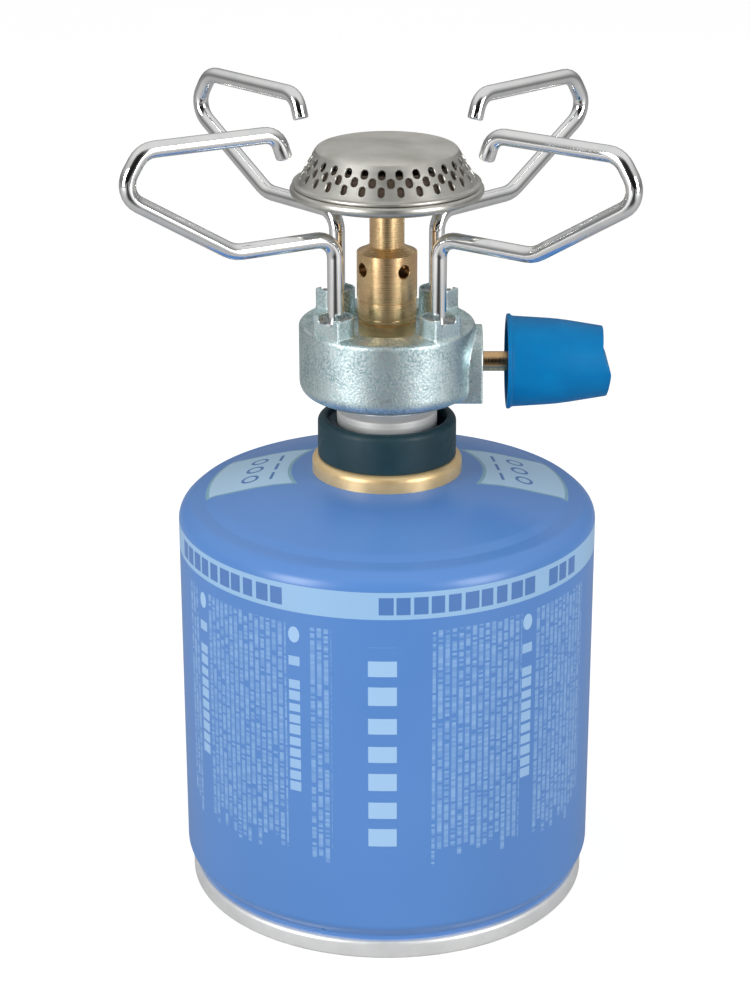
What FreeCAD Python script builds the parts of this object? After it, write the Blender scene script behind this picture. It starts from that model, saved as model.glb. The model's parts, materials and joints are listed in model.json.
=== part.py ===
"""Camping canister stove: a burner head twist-locked onto a domed gas cartridge.

Millimetres. The origin is the centre of the cartridge's foot, +Z is up, the control knob points
along +X and -Y is the front. Every function below makes one separate physical piece at rest:
valve closed, head locked on the cartridge, pan supports spread.
"""

import FreeCAD
import Part

import math
import os

# ---------------------------------------------------------------- driving dimensions
RUNNING_GAP = 0.05          # radial clearance of every turning or sliding fit
FACE_GAP = 0.1              # clearance between faces of pieces that move apart

# gas cartridge
CAN_R = 53.5
CAN_SHEET = 0.5
FOOT_NECK_R = 50.9          # wall radius where it enters the foot seam
FOOT_SEAM_R = 52.2
FOOT_SEAM_H = 3.2
FOOT_SEAM_W = 3.4
FOOT_HEM_Z = 1.0            # lower edge of the wall, held inside the seam
FOOT_FLARE_Z = (4.4, 7.8)   # where the wall starts to widen and where it is full width
BASE_DOME_H = 11.0
BASE_SHOULDER = (39.8, 6.0) # radius and height where the dome meets its steep rim
SHOULDER_Z = 102.4          # corner where the wall meets the shoulder
SHOULDER_STEP = (47.6, 106.6)
CROWN = (30.0, 111.9)
MOUTH_R = 16.3
MOUTH_Z = 113.6
MOUTH_TOP_Z = 116.2

# valve cup, locking collar and cartridge valve
CUP_BEAD_R = 19.1
CUP_SKIRT_Z = 112.9         # lower edge of the bead, on the can's crown
CUP_TOP_Z = 117.5
CUP_WALL_R = 15.2
CUP_FLOOR_Z = 107.1
CUP_SHEET = 0.5
PEDESTAL_R = 5.6
PEDESTAL_TOP_Z = 112.6
STEM_R = 1.95
STEM_HOLE_R = 2.55
STEM_REACH = 1.2            # how far the stem stands out of the pedestal
STEM_FLANGE_R = 3.4
STEM_TAIL_R = 1.2
STEM_TAIL_H = 3.0
STEM_BORE_R = 0.7
STEM_CROSS_HOLE_R = 0.4
HOUSING_FLOOR_Z = 99.5
HOUSING_WALL = 1.0
HOUSING_INLET_R = 0.8
GASKET_H = 1.0
SPRING_Z = (101.5, 108.0)
SPRING_WIRE_R = 0.3
SPRING_COIL_R = 2.7
SPRING_PITCH = 1.3
COLLAR_R = 17.6
COLLAR_TOP_Z = 127.8
COLLAR_BORE_R = 15.2
COLLAR_SOCKET_R = 12.5
COLLAR_FLOOR_Z = 118.5      # floor of the chamber that the lugs turn in

# bayonet
BAYONET_COUNT = 3
BAYONET_TURN = 60.0         # degrees from locked to released
BAYONET_RISE = 1.2          # how far the head climbs over that turn
FLANGE_IN_R = 13.05
FLANGE_SPAN = 66.0          # degrees of each flange sector
FLANGE_TOP_Z = 126.4
FLANGE_MID_Z = 123.1        # underside height at a sector's middle
STOP_SPAN = 9.0
LUG_R = 14.9
LUG_SPAN = 44.0
LUG_BOTTOM_Z = 119.7
LUG_CLEARANCE = 0.25
FIRST_LUG_AZ = 61.0
CATCH_ROOT = 1.0            # how deep a catch is rooted in the collar's wall
NECK_R = 12.7
NECK_WALL = 2.2
NECK_BOTTOM_Z = 119.0
NECK_GROOVE_TOP_Z = 121.5
NECK_FLARE = (13.4, 131.0)
NECK_BOSS_R = 5.4
SEAL_R = (2.6, 5.0)
SEAL_TOP_Z = 114.6
PROBE_R = 1.4
PROBE_BORE_R = 0.6
FILTER_R = 4.0
FILTER_Z = (129.0, 131.0)

# die-cast valve body
BODY_R = 22.1
BODY_Z = (134.0, 152.5)
BODY_BOTTOM_FILLET = 3.5
BODY_TOP_FILLET = 1.0
TOP_RECESS_R = 14.0
TOP_RECESS_Z = 149.8
SPIGOT_R = 9.0
SPIGOT_TOP_Z = 138.0
SPIGOT_SOCKET_R = 7.5
SPIGOT_SOCKET_H = 1.5
SPINDLE_Z = 141.9
VALVE_LUG_X = 23.9
VALVE_LUG_R = 9.3
VALVE_LUG_BOTTOM_Z = 133.6
GLAND_R = 4.5
GLAND_X = (18.0, 23.5)
SPINDLE_SEAL_X = 15.4       # inner face of the seal behind the bush
SEAT_X = 4.0
SEAT_R = 0.8
INLET_WAY_R = 1.2
INLET_WAY_X = 6.0
OUTLET_WAY_R = 1.8
JET_THREAD_R = 5.0
JET_THREAD_H = 3.5

# pan support bosses
STEM_XY = 12.6              # stems stand on the four diagonals
BOSS_TOP_Z = 157.6
BOSS_FLAT_R = 21.3          # distance of a boss's flat face from the stove's axis
BOSS_R = 4.5
POCKET_R = 4.1
POCKET_DEPTH = 1.5

# pan support wire, given as (distance from its own stem, height, bend radius)
WIRE_R = 2.0
WIRE_FOOT_Z = 143.0
WIRE_LOWER_Z = 177.3
WIRE_KNEE = (27.2, WIRE_LOWER_Z)
WIRE_SHOULDER = (56.1, 195.0)
WIRE_TOP_Z = 204.56
WIRE_TOP_CORNER_R = 49.9
WIRE_TIP_BEND_R = 15.4
WIRE_TIP = (13.4, 198.6)
WIRE_GROOVE_DEPTH = 0.3     # groove that the retaining washer's bore runs in
WASHER_H = 0.5
WASHER_NOTCH = (1.4, 1.2)   # depth and width
STEM_AZ = {
    "front_left": 225.0,
    "front_right": 315.0,
    "back_left": 135.0,
    "back_right": 45.0,
}
SUPPORT_AZ = {
    "front_left": 209.3,
    "front_right": 324.2,
    "back_left": 132.5,
    "back_right": 44.7,
}

# brass mixer
JET_HOLDER_R = 7.2
JET_HOLDER_TOP_Z = 154.5
JET_HOLDER_BORE_R = 1.5
JET_SEAT_Z = 152.5
JET_SHOULDER_Z = 157.5
JET_R = 2.2
JET_HEAD_R = 3.2
JET_BORE_R = 0.9
JET_ORIFICE_R = 0.25
MIXER_BAND_R = 7.4
MIXER_BAND_TOP_Z = 158.5
MIXER_R = 7.54
MIXER_TOP_Z = 170.6
MIXER_BORE_R = 5.5
TUBE_R = 4.34
TUBE_BORE_R = 3.4
TUBE_Z = (168.4, 184.2)
AIR_HOLE_R = 1.7
AIR_HOLE_Z = 166.8
AIR_HOLE_AZ = (35.0, 125.0, 215.0, 305.0)

# burner
DISH_R = 23.95
DISH_HUB_R = (5.34, 5.74)   # hub radius at its lower edge and at its bend
DISH_HUB_Z = (181.4, 183.0)
DISH_HUB_TOP_Z = 183.8
DISH_RIM_R = (21.35, 21.7)  # where the floor turns up, outside and inside
DISH_LIP_Z = (184.4, 187.5)
DISH_SEAT_Z = 185.5
CAP_FLANGE_R = 23.3
CAP_FLANGE_Z = (187.6, 188.4)
CAP_FOOT_R = 22.2
CAP_TOP_R = 17.2
CAP_TOP_Z = 197.0
CAP_SHEET = 0.6
GAUZE_SHEET = 0.25
GAUZE_TOP_Z = 193.8
PORT_COUNT = 28
PORT_ROWS = (               # (height, width, length, offset as a fraction of the pitch)
    (194.3, 1.7, 2.3, 0.0),
    (192.5, 1.7, 2.3, 0.5),
    (190.6, 1.5, 2.4, 0.0),
)
PORT_FIRST_AZ = 266.2

# spindle and knob
SPINDLE_R = 2.5
SPINDLE_X = (8.2, 50.0)
NEEDLE_X = (3.1, 8.1)
KNOB_LIP_R = 12.0
KNOB_X = (30.0, 55.8)
KNOB_MOUTH_R = 11.45
KNOB_MID_R = 10.75
KNOB_END_R = 8.5
KNOB_WALL = 1.3
KNOB_FLOOR_X = 52.4
KNOB_HUB_R = 4.2
KNOB_HUB_X = 35.0
SPINDLE_FLAT = 1.6          # distance of the spindle's flat from its axis

STEM_AXIS_R = STEM_XY * math.sqrt(2)
CAP_SLOPE = math.atan2(CAP_FOOT_R - CAP_TOP_R, CAP_TOP_Z - CAP_FLANGE_Z[1])
BAYONET_PITCH = 360.0 / BAYONET_COUNT
GASKET_Z = PEDESTAL_TOP_Z - CUP_SHEET - GASKET_H
STEM_TOP_Z = PEDESTAL_TOP_Z + STEM_REACH
RAMP_R = (FLANGE_IN_R + LUG_R) / 2
RAMP_ANGLE = math.degrees(math.atan(BAYONET_RISE / math.radians(BAYONET_TURN) / RAMP_R))

X_AXIS = FreeCAD.Vector(1, 0, 0)
Y_AXIS = FreeCAD.Vector(0, 1, 0)
Z_AXIS = FreeCAD.Vector(0, 0, 1)
ORIGIN = FreeCAD.Vector(0, 0, 0)


# ---------------------------------------------------------------- shape helpers
def vec(x, y, z):
    return FreeCAD.Vector(x, y, z)


def cylinder(radius, bottom, top, x=0.0, y=0.0):
    """Upright cylinder between two heights."""
    return Part.makeCylinder(radius, top - bottom, vec(x, y, bottom))


def cylinder_x(radius, start, end):
    """Cylinder about the spindle's axis between two X positions."""
    return Part.makeCylinder(radius, end - start, vec(start, 0, SPINDLE_Z), X_AXIS)


def ring(outer, inner, bottom, top):
    return cylinder(outer, bottom, top).cut(cylinder(inner, bottom - 1, top + 1))


def turned(shape, azimuth):
    """Copy of a shape turned about the stove's axis."""
    copy = shape.copy()
    copy.rotate(ORIGIN, Z_AXIS, azimuth)
    return copy


def rounded_edges(corners, closed):
    """Straight runs joined by tangent arcs through (u, w, radius) corners in the XZ plane."""
    points = [vec(u, 0, w) for u, w, _ in corners]
    count = len(points)
    entries = []
    exits = []
    edges = []
    for i, point in enumerate(points):
        radius = corners[i][2]
        is_end = not closed and i in (0, count - 1)
        if radius == 0 or is_end:
            entries.append(point)
            exits.append(point)
            continue
        to_last = (points[i - 1] - point).normalize()
        to_next = (points[(i + 1) % count] - point).normalize()
        half_angle = to_last.getAngle(to_next) / 2
        setback = radius / math.tan(half_angle)
        bisector = (to_last + to_next).normalize()
        middle = point + bisector * (radius / math.sin(half_angle) - radius)
        entries.append(point + to_last * setback)
        exits.append(point + to_next * setback)
        edges.append(Part.Arc(entries[i], middle, exits[i]).toShape())
    runs = count if closed else count - 1
    for i in range(runs):
        start = exits[i]
        end = entries[(i + 1) % count]
        if start.distanceToPoint(end) > 1e-6:
            edges.append(Part.LineSegment(start, end).toShape())
    return Part.__sortEdges__(edges)


def corner_list(points):
    """Give every (u, w) point without a bend radius a sharp corner."""
    return [point if len(point) == 3 else (point[0], point[1], 0.0) for point in points]


def outline_face(points):
    return Part.Face(Part.Wire(rounded_edges(corner_list(points), closed=True)))


def turned_part(points):
    """Solid of revolution about Z from a closed (radius, height, bend) outline."""
    return outline_face(points).revolve(ORIGIN, Z_AXIS, 360)


def spun_sheet(points, thickness):
    """Sheet metal of revolution whose outer face follows an open (radius, height, bend) path."""
    path = Part.Wire(rounded_edges(corner_list(points), closed=False))
    face = path.makeOffset2D(thickness, 0, True, True, False)
    return face.revolve(ORIGIN, Z_AXIS, 360)


def turned_part_x(points):
    """Solid of revolution about the spindle's axis from an (x, radius, bend) outline."""
    solid = outline_face(points).revolve(ORIGIN, X_AXIS, 360)
    solid.translate(vec(0, 0, SPINDLE_Z))
    return solid


def sector(outer, inner, bottom, top, span):
    """Ring sector centred on +X."""
    block = Part.makeCylinder(outer, top - bottom, vec(0, 0, bottom), Z_AXIS, span)
    block.rotate(ORIGIN, Z_AXIS, -span / 2)
    return block.cut(cylinder(inner, bottom - 1, top + 1))


def below_ramp(height):
    """Large block whose top passes through (RAMP_R, 0, height) and climbs towards +Y."""
    size = 60.0
    block = Part.makeBox(size, size, size, vec(0, -size / 2, height - size))
    block.rotate(vec(0, 0, height), X_AXIS, RAMP_ANGLE)
    return block


# ---------------------------------------------------------------- gas cartridge
def make_canister_body():
    """Deep-drawn can: hem in the foot seam, straight wall, stepped shoulder and rolled mouth."""
    return spun_sheet(
        [
            (FOOT_NECK_R, FOOT_HEM_Z),
            (FOOT_NECK_R, FOOT_FLARE_Z[0], 1.2),
            (CAN_R, FOOT_FLARE_Z[1], 3.5),
            (CAN_R, SHOULDER_Z, 5.0),
            (*SHOULDER_STEP, 6.0),
            (*CROWN, 60.0),
            (MOUTH_R, MOUTH_Z, 1.2),
            (MOUTH_R, MOUTH_TOP_Z),
        ],
        CAN_SHEET,
    )


def make_canister_base(can_body):
    """Inward-domed base panel with the rolled seam that the can stands on."""
    inner_r = FOOT_SEAM_R - FOOT_SEAM_W
    shoulder_r, shoulder_z = BASE_SHOULDER
    panel = turned_part(
        [
            (0.0, BASE_DOME_H),
            (0.0, BASE_DOME_H - CAN_SHEET),
            (shoulder_r, shoulder_z, 30.0),
            (inner_r - 0.1, 2.2, 1.0),
            (inner_r, 0.0, 0.9),
            (FOOT_SEAM_R, 0.0, 0.9),
            (FOOT_SEAM_R, FOOT_SEAM_H, 1.0),
            (inner_r + CAN_SHEET, FOOT_SEAM_H),
            (shoulder_r, shoulder_z + CAN_SHEET, 30.0),
        ]
    )
    return panel.cut(can_body)


def make_valve_cup(can_body):
    """Lacquered metal cup rolled over the mouth, with a pedestal that holds the cartridge valve."""
    cup = turned_part(
        [
            (MOUTH_R, CUP_SKIRT_Z),
            (CUP_BEAD_R, CUP_SKIRT_Z),
            (CUP_BEAD_R, CUP_TOP_Z, 1.7),
            (CUP_WALL_R, CUP_TOP_Z, 1.2),
            (CUP_WALL_R, CUP_FLOOR_Z, 1.0),
            (PEDESTAL_R, CUP_FLOOR_Z, 0.6),
            (PEDESTAL_R, PEDESTAL_TOP_Z, 0.6),
            (STEM_HOLE_R, PEDESTAL_TOP_Z),
            (STEM_HOLE_R, PEDESTAL_TOP_Z - CUP_SHEET),
            (PEDESTAL_R - CUP_SHEET, PEDESTAL_TOP_Z - CUP_SHEET),
            (PEDESTAL_R - CUP_SHEET, CUP_FLOOR_Z - CUP_SHEET),
            (CUP_WALL_R + CUP_SHEET, CUP_FLOOR_Z - CUP_SHEET, 1.4),
            (CUP_WALL_R + CUP_SHEET, CUP_SKIRT_Z),
        ]
    )
    return cup.cut(can_body)


def make_valve_housing():
    """Plastic cup under the pedestal that guides the spring and lets gas in from below."""
    outer_r = PEDESTAL_R - CUP_SHEET
    floor_top = SPRING_Z[0]
    housing = cylinder(outer_r, HOUSING_FLOOR_Z, GASKET_Z)
    housing = housing.cut(cylinder(outer_r - HOUSING_WALL, floor_top, PEDESTAL_TOP_Z))
    return housing.cut(cylinder(HOUSING_INLET_R, HOUSING_FLOOR_Z - 1, floor_top + 1))


def make_valve_gasket():
    """Rubber washer clamped between the pedestal and the housing round the valve stem."""
    return ring(PEDESTAL_R - CUP_SHEET, STEM_R + RUNNING_GAP, GASKET_Z, GASKET_Z + GASKET_H)


def make_valve_stem():
    """Poppet held down by the head's probe: gas rises through its cross hole and centre."""
    flange_top = GASKET_Z - BAYONET_RISE - FACE_GAP
    stem = cylinder(STEM_R, SPRING_Z[1], STEM_TOP_Z)
    stem = stem.fuse(cylinder(STEM_FLANGE_R, SPRING_Z[1], flange_top))
    stem = stem.fuse(cylinder(STEM_TAIL_R, SPRING_Z[1] - STEM_TAIL_H, SPRING_Z[1]))
    stem = stem.cut(cylinder(STEM_BORE_R, flange_top, STEM_TOP_Z + 1))
    cross_hole = Part.makeCylinder(
        STEM_CROSS_HOLE_R, 4 * STEM_R,
        vec(-2 * STEM_R, 0, flange_top + 1.5 * STEM_CROSS_HOLE_R), X_AXIS)
    return stem.cut(cross_hole).removeSplitter()


def make_valve_spring():
    """Compression spring that closes the cartridge valve when the head rises."""
    bottom, top = SPRING_Z
    helix = Part.makeHelix(SPRING_PITCH, top - bottom - 2 * SPRING_WIRE_R, SPRING_COIL_R)
    circle = Part.Circle(vec(SPRING_COIL_R, 0, 0), Y_AXIS, SPRING_WIRE_R)
    spring = helix.makePipeShell([Part.Wire([circle.toShape()])], True, True)
    spring.translate(vec(0, 0, bottom + SPRING_WIRE_R))
    return spring


def make_locking_collar():
    """Plastic collar clipped into the cup: three ramped flange sectors catch the head's lugs."""
    shell = turned_part(
        [
            (COLLAR_SOCKET_R, CUP_FLOOR_Z),
            (CUP_WALL_R, CUP_FLOOR_Z, 1.0),
            (CUP_WALL_R, CUP_TOP_Z),
            (COLLAR_R, CUP_TOP_Z),
            (COLLAR_R, COLLAR_TOP_Z, 1.6),
            (COLLAR_BORE_R, COLLAR_TOP_Z, 0.6),
            (COLLAR_BORE_R, COLLAR_FLOOR_Z),
            (COLLAR_SOCKET_R, COLLAR_FLOOR_Z),
        ]
    )
    rooted_r = COLLAR_BORE_R + CATCH_ROOT
    flange = sector(rooted_r, FLANGE_IN_R, FLANGE_MID_Z - 2, FLANGE_TOP_Z, FLANGE_SPAN)
    flange = flange.cut(below_ramp(FLANGE_MID_Z))
    stop = sector(rooted_r, FLANGE_IN_R, COLLAR_FLOOR_Z - 0.5, FLANGE_MID_Z + 0.5, STOP_SPAN)
    stop = turned(stop, (STOP_SPAN - FLANGE_SPAN) / 2)
    catch = flange.fuse(stop)
    catches = [turned(catch, FIRST_LUG_AZ + i * BAYONET_PITCH) for i in range(BAYONET_COUNT)]
    return shell.multiFuse(catches).removeSplitter()


# ---------------------------------------------------------------- head: gas inlet
def make_bayonet_neck():
    """Turned steel neck under the body with three ramped lugs and a centre boss for the seal."""
    neck = turned_part(
        [
            (PROBE_R, SEAL_TOP_Z),
            (NECK_BOSS_R, SEAL_TOP_Z, 0.4),
            (NECK_BOSS_R, NECK_GROOVE_TOP_Z, 0.5),
            (NECK_R - NECK_WALL, NECK_GROOVE_TOP_Z, 0.5),
            (NECK_R - NECK_WALL, NECK_BOTTOM_Z),
            (NECK_R, NECK_BOTTOM_Z, 0.4),
            (NECK_R, COLLAR_TOP_Z - 0.2),
            NECK_FLARE,
            (NECK_FLARE[0], BODY_Z[0]),
            (SPIGOT_R, BODY_Z[0]),
            (SPIGOT_R, SPIGOT_TOP_Z),
            (SPIGOT_SOCKET_R, SPIGOT_TOP_Z),
            (SPIGOT_SOCKET_R, SPIGOT_TOP_Z - SPIGOT_SOCKET_H),
            (FILTER_R, SPIGOT_TOP_Z - SPIGOT_SOCKET_H),
            (FILTER_R, FILTER_Z[0]),
            (PROBE_R, FILTER_Z[0]),
        ]
    )
    lug_top = FLANGE_MID_Z - LUG_CLEARANCE
    lug = sector(LUG_R, NECK_R - 0.5, LUG_BOTTOM_Z, FLANGE_MID_Z + 2, LUG_SPAN)
    lug = lug.common(below_ramp(lug_top))
    lugs = [turned(lug, FIRST_LUG_AZ + i * BAYONET_PITCH) for i in range(BAYONET_COUNT)]
    return neck.multiFuse(lugs).removeSplitter()


def make_inlet_seal():
    """Rubber washer on the neck's boss that seals on the pedestal."""
    return ring(SEAL_R[1], SEAL_R[0], PEDESTAL_TOP_Z + FACE_GAP, SEAL_TOP_Z)


def make_inlet_probe():
    """Hollow pin that holds the cartridge's valve stem open."""
    return ring(PROBE_R, PROBE_BORE_R, STEM_TOP_Z + FACE_GAP, FILTER_Z[0])


def make_inlet_filter():
    """Sintered disc above the probe."""
    return cylinder(FILTER_R, *FILTER_Z)


# ---------------------------------------------------------------- head: die-cast body
def make_boss():
    """One support boss on the +X side: flat outer face, straight sides, round inner end."""
    bottom = TOP_RECESS_Z - 1.0
    block = Part.makeBox(BOSS_FLAT_R - STEM_AXIS_R, 2 * BOSS_R, BOSS_TOP_Z - bottom,
                         vec(STEM_AXIS_R, -BOSS_R, bottom))
    boss = block.fuse(cylinder(BOSS_R, bottom, BOSS_TOP_Z, x=STEM_AXIS_R)).removeSplitter()
    top_edges = [edge for edge in boss.Edges if edge.BoundBox.ZMin > BOSS_TOP_Z - 0.01]
    return boss.makeFillet(0.35, top_edges)


def make_valve_lug():
    """Arched lug towards the knob with an as-cast end face."""
    arch = Part.makeCylinder(VALVE_LUG_R, VALVE_LUG_X, vec(0, 0, SPINDLE_Z), X_AXIS)
    foot = Part.makeBox(VALVE_LUG_X, 2 * VALVE_LUG_R, SPINDLE_Z - VALVE_LUG_BOTTOM_Z,
                        vec(0, -VALVE_LUG_R, VALVE_LUG_BOTTOM_Z))
    below = cylinder(2 * VALVE_LUG_X, VALVE_LUG_BOTTOM_Z - VALVE_LUG_R, VALVE_LUG_BOTTOM_Z)
    neck_room = cylinder(NECK_FLARE[0] + 0.3, VALVE_LUG_BOTTOM_Z - 1, BODY_Z[0])
    return arch.fuse(foot).cut(below).cut(neck_room).removeSplitter()


def make_valve_body():
    """Zinc casting: drum, valve lug, four bosses, top recess and the drilled gas ways."""
    body = turned_part(
        [
            (0.0, BODY_Z[0]),
            (BODY_R, BODY_Z[0], BODY_BOTTOM_FILLET),
            (BODY_R, BODY_Z[1], BODY_TOP_FILLET),
            (TOP_RECESS_R, BODY_Z[1], 0.4),
            (TOP_RECESS_R - 0.3, TOP_RECESS_Z, 0.6),
            (0.0, TOP_RECESS_Z),
        ]
    )
    lug = make_valve_lug().cut(cylinder(TOP_RECESS_R, TOP_RECESS_Z, BODY_Z[1] + 5))
    bosses = [turned(make_boss(), 45 + 90 * i) for i in range(4)]
    body = body.multiFuse([lug] + bosses).removeSplitter()
    ways = [
        cylinder(SPIGOT_R, 100, SPIGOT_TOP_Z),
        cylinder(INLET_WAY_R, SPIGOT_TOP_Z - 1, SPINDLE_Z, x=INLET_WAY_X),
        cylinder(OUTLET_WAY_R, SPINDLE_Z, TOP_RECESS_Z),
        cylinder(JET_THREAD_R, TOP_RECESS_Z - JET_THREAD_H, TOP_RECESS_Z + 5),
        cylinder_x(SEAT_R, 0.0, SEAT_X),
        cylinder_x(SPINDLE_R + RUNNING_GAP, SEAT_X, VALVE_LUG_X + 1),
        cylinder_x(GLAND_R, SPINDLE_SEAL_X, VALVE_LUG_X + 1),
    ]
    for i in range(4):
        azimuth = math.radians(45 + 90 * i)
        x = STEM_AXIS_R * math.cos(azimuth)
        y = STEM_AXIS_R * math.sin(azimuth)
        ways.append(cylinder(WIRE_R + RUNNING_GAP, WIRE_FOOT_Z - 0.5, BOSS_TOP_Z + 1, x, y))
        ways.append(cylinder(POCKET_R, BOSS_TOP_Z - POCKET_DEPTH, BOSS_TOP_Z + 1, x, y))
    return body.cut(ways)


def make_retaining_washer(azimuth):
    """Star washer pressed into a boss's pocket; its bore runs in the wire's groove."""
    bottom = BOSS_TOP_Z - POCKET_DEPTH
    bore_r = WIRE_R - WIRE_GROOVE_DEPTH + RUNNING_GAP
    depth, width = WASHER_NOTCH
    washer = ring(POCKET_R, bore_r, bottom, bottom + WASHER_H)
    for i in range(4):
        corner = vec(POCKET_R - depth, -width / 2, bottom - WASHER_H)
        notch = Part.makeBox(2 * depth, width, 3 * WASHER_H, corner)
        washer = washer.cut(turned(notch, 45 + 90 * i))
    washer.translate(vec(STEM_AXIS_R, 0, 0))
    return turned(washer, azimuth)


# ---------------------------------------------------------------- head: spindle gland
def make_gland_bush():
    """Brass bush pressed into the lug round the spindle."""
    bush = cylinder_x(GLAND_R, *GLAND_X)
    return bush.cut(cylinder_x(SPINDLE_R + RUNNING_GAP, GLAND_X[0] - 1, GLAND_X[1] + 1))


def make_spindle_seal():
    """Rubber ring behind the bush."""
    seal = cylinder_x(GLAND_R, SPINDLE_SEAL_X, GLAND_X[0])
    return seal.cut(cylinder_x(SPINDLE_R + RUNNING_GAP, SPINDLE_SEAL_X - 1, GLAND_X[0] + 1))


# ---------------------------------------------------------------- head: jet and mixer
def make_jet_holder():
    """Brass base screwed into the casting; the mixer screws onto its upper spigot."""
    return turned_part(
        [
            (JET_HOLDER_BORE_R, TOP_RECESS_Z - JET_THREAD_H),
            (JET_THREAD_R, TOP_RECESS_Z - JET_THREAD_H),
            (JET_THREAD_R, TOP_RECESS_Z),
            (JET_HOLDER_R, TOP_RECESS_Z),
            (JET_HOLDER_R, JET_HOLDER_TOP_Z, 0.25),
            (MIXER_BORE_R, JET_HOLDER_TOP_Z),
            (MIXER_BORE_R, JET_SHOULDER_Z, 0.5),
            (JET_R, JET_SHOULDER_Z),
            (JET_R, JET_SEAT_Z),
            (JET_HOLDER_BORE_R, JET_SEAT_Z),
        ]
    )


def make_gas_jet():
    """Brass jet with its small orifice, screwed into the jet holder."""
    head_h = 2.2
    tip_z = JET_SHOULDER_Z + 4.2
    return turned_part(
        [
            (JET_BORE_R, JET_SEAT_Z),
            (JET_R, JET_SEAT_Z),
            (JET_R, JET_SHOULDER_Z),
            (JET_HEAD_R, JET_SHOULDER_Z),
            (JET_HEAD_R, JET_SHOULDER_Z + head_h),
            (JET_HEAD_R / 2, tip_z, 0.3),
            (JET_ORIFICE_R, tip_z),
            (JET_ORIFICE_R, tip_z - 1.2),
            (JET_BORE_R, tip_z - 1.8),
        ]
    )


def make_mixer_body():
    """Brass mixer with four air holes and a shallow cone on top."""
    mixer = turned_part(
        [
            (MIXER_BORE_R, JET_HOLDER_TOP_Z),
            (MIXER_BAND_R, JET_HOLDER_TOP_Z, 0.25),
            (MIXER_BAND_R, MIXER_BAND_TOP_Z),
            (MIXER_R, MIXER_BAND_TOP_Z + 0.1, 0.05),
            (MIXER_R, MIXER_TOP_Z, 0.2),
            (MIXER_R - 0.7, MIXER_TOP_Z + 0.25),
            (TUBE_R, MIXER_TOP_Z + 1.5),
            (TUBE_R, TUBE_Z[0]),
            (MIXER_BORE_R, TUBE_Z[0]),
        ]
    )
    for azimuth in AIR_HOLE_AZ:
        hole = Part.makeCylinder(AIR_HOLE_R, MIXER_R + 2, vec(0, 0, AIR_HOLE_Z), X_AXIS)
        mixer = mixer.cut(turned(hole, azimuth))
    return mixer


def make_burner_tube():
    """Brass tube that carries the mixture up to the burner and holds its dish."""
    return turned_part(
        [
            (TUBE_BORE_R, TUBE_Z[0]),
            (TUBE_R, TUBE_Z[0]),
            (TUBE_R, TUBE_Z[1], 0.2),
            (TUBE_BORE_R, TUBE_Z[1]),
        ]
    )


# ---------------------------------------------------------------- head: burner
def make_burner_dish():
    """Pressed steel dish under the burner: hub on the tube and a rolled outer lip."""
    return turned_part(
        [
            (TUBE_R, DISH_HUB_Z[0]),
            (DISH_HUB_R[0], DISH_HUB_Z[0], 0.3),
            (DISH_HUB_R[1], DISH_HUB_Z[1], 0.8),
            (DISH_RIM_R[0], DISH_LIP_Z[0], 2.0),
            (DISH_R, DISH_SEAT_Z, 1.2),
            (DISH_R, DISH_LIP_Z[1], 1.1),
            (DISH_RIM_R[1], DISH_LIP_Z[1]),
            (DISH_RIM_R[1] - 0.3, DISH_SEAT_Z + 0.3, 0.8),
            (TUBE_R, DISH_HUB_TOP_Z),
        ]
    )


def make_port(row_height, width, length, azimuth):
    """Cutter for one burner port: a stadium slot square to the cap's slope."""
    straight = (length - width) / 2
    depth = 4.0
    cutter = Part.makeBox(depth, width, 2 * straight, vec(-depth / 2, -width / 2, -straight))
    for end in (-straight, straight):
        cutter = cutter.fuse(Part.makeCylinder(width / 2, depth, vec(-depth / 2, 0, end), X_AXIS))
    cutter.rotate(ORIGIN, Y_AXIS, -math.degrees(CAP_SLOPE))
    radius = CAP_FOOT_R - (row_height - CAP_FLANGE_Z[1]) * math.tan(CAP_SLOPE)
    cutter.translate(vec(radius, 0, row_height))
    return turned(cutter, azimuth)


def make_burner_cap():
    """Pressed steel cap: seated flange, cone with three staggered rows of ports, flat top."""
    inset = CAP_SHEET / math.cos(CAP_SLOPE)
    cap = turned_part(
        [
            (0.0, CAP_TOP_Z - CAP_SHEET),
            (CAP_TOP_R - inset * 0.7, CAP_TOP_Z - CAP_SHEET, 1.2),
            (CAP_FOOT_R - inset, CAP_FLANGE_Z[1]),
            (CAP_FOOT_R - inset, CAP_FLANGE_Z[0]),
            (CAP_FLANGE_R, CAP_FLANGE_Z[0], 0.3),
            (CAP_FLANGE_R, CAP_FLANGE_Z[1], 0.3),
            (CAP_FOOT_R, CAP_FLANGE_Z[1], 0.4),
            (CAP_TOP_R, CAP_TOP_Z, 1.8),
            (0.0, CAP_TOP_Z),
        ]
    )
    pitch = 360.0 / PORT_COUNT
    ports = []
    for row_height, width, length, offset in PORT_ROWS:
        for i in range(PORT_COUNT):
            azimuth = PORT_FIRST_AZ + (i + offset) * pitch
            ports.append(make_port(row_height, width, length, azimuth))
    return cap.cut(ports)


def make_burner_gauze():
    """Fine gauze cone behind the ports."""
    gap = CAP_SHEET / math.cos(CAP_SLOPE) + FACE_GAP
    outer_foot = CAP_FOOT_R - gap
    outer_top = outer_foot - (GAUZE_TOP_Z - CAP_FLANGE_Z[1]) * math.tan(CAP_SLOPE)
    return turned_part(
        [
            (outer_foot - GAUZE_SHEET, CAP_FLANGE_Z[1]),
            (outer_foot, CAP_FLANGE_Z[1]),
            (outer_top, GAUZE_TOP_Z),
            (outer_top - GAUZE_SHEET, GAUZE_TOP_Z),
        ]
    )


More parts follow.
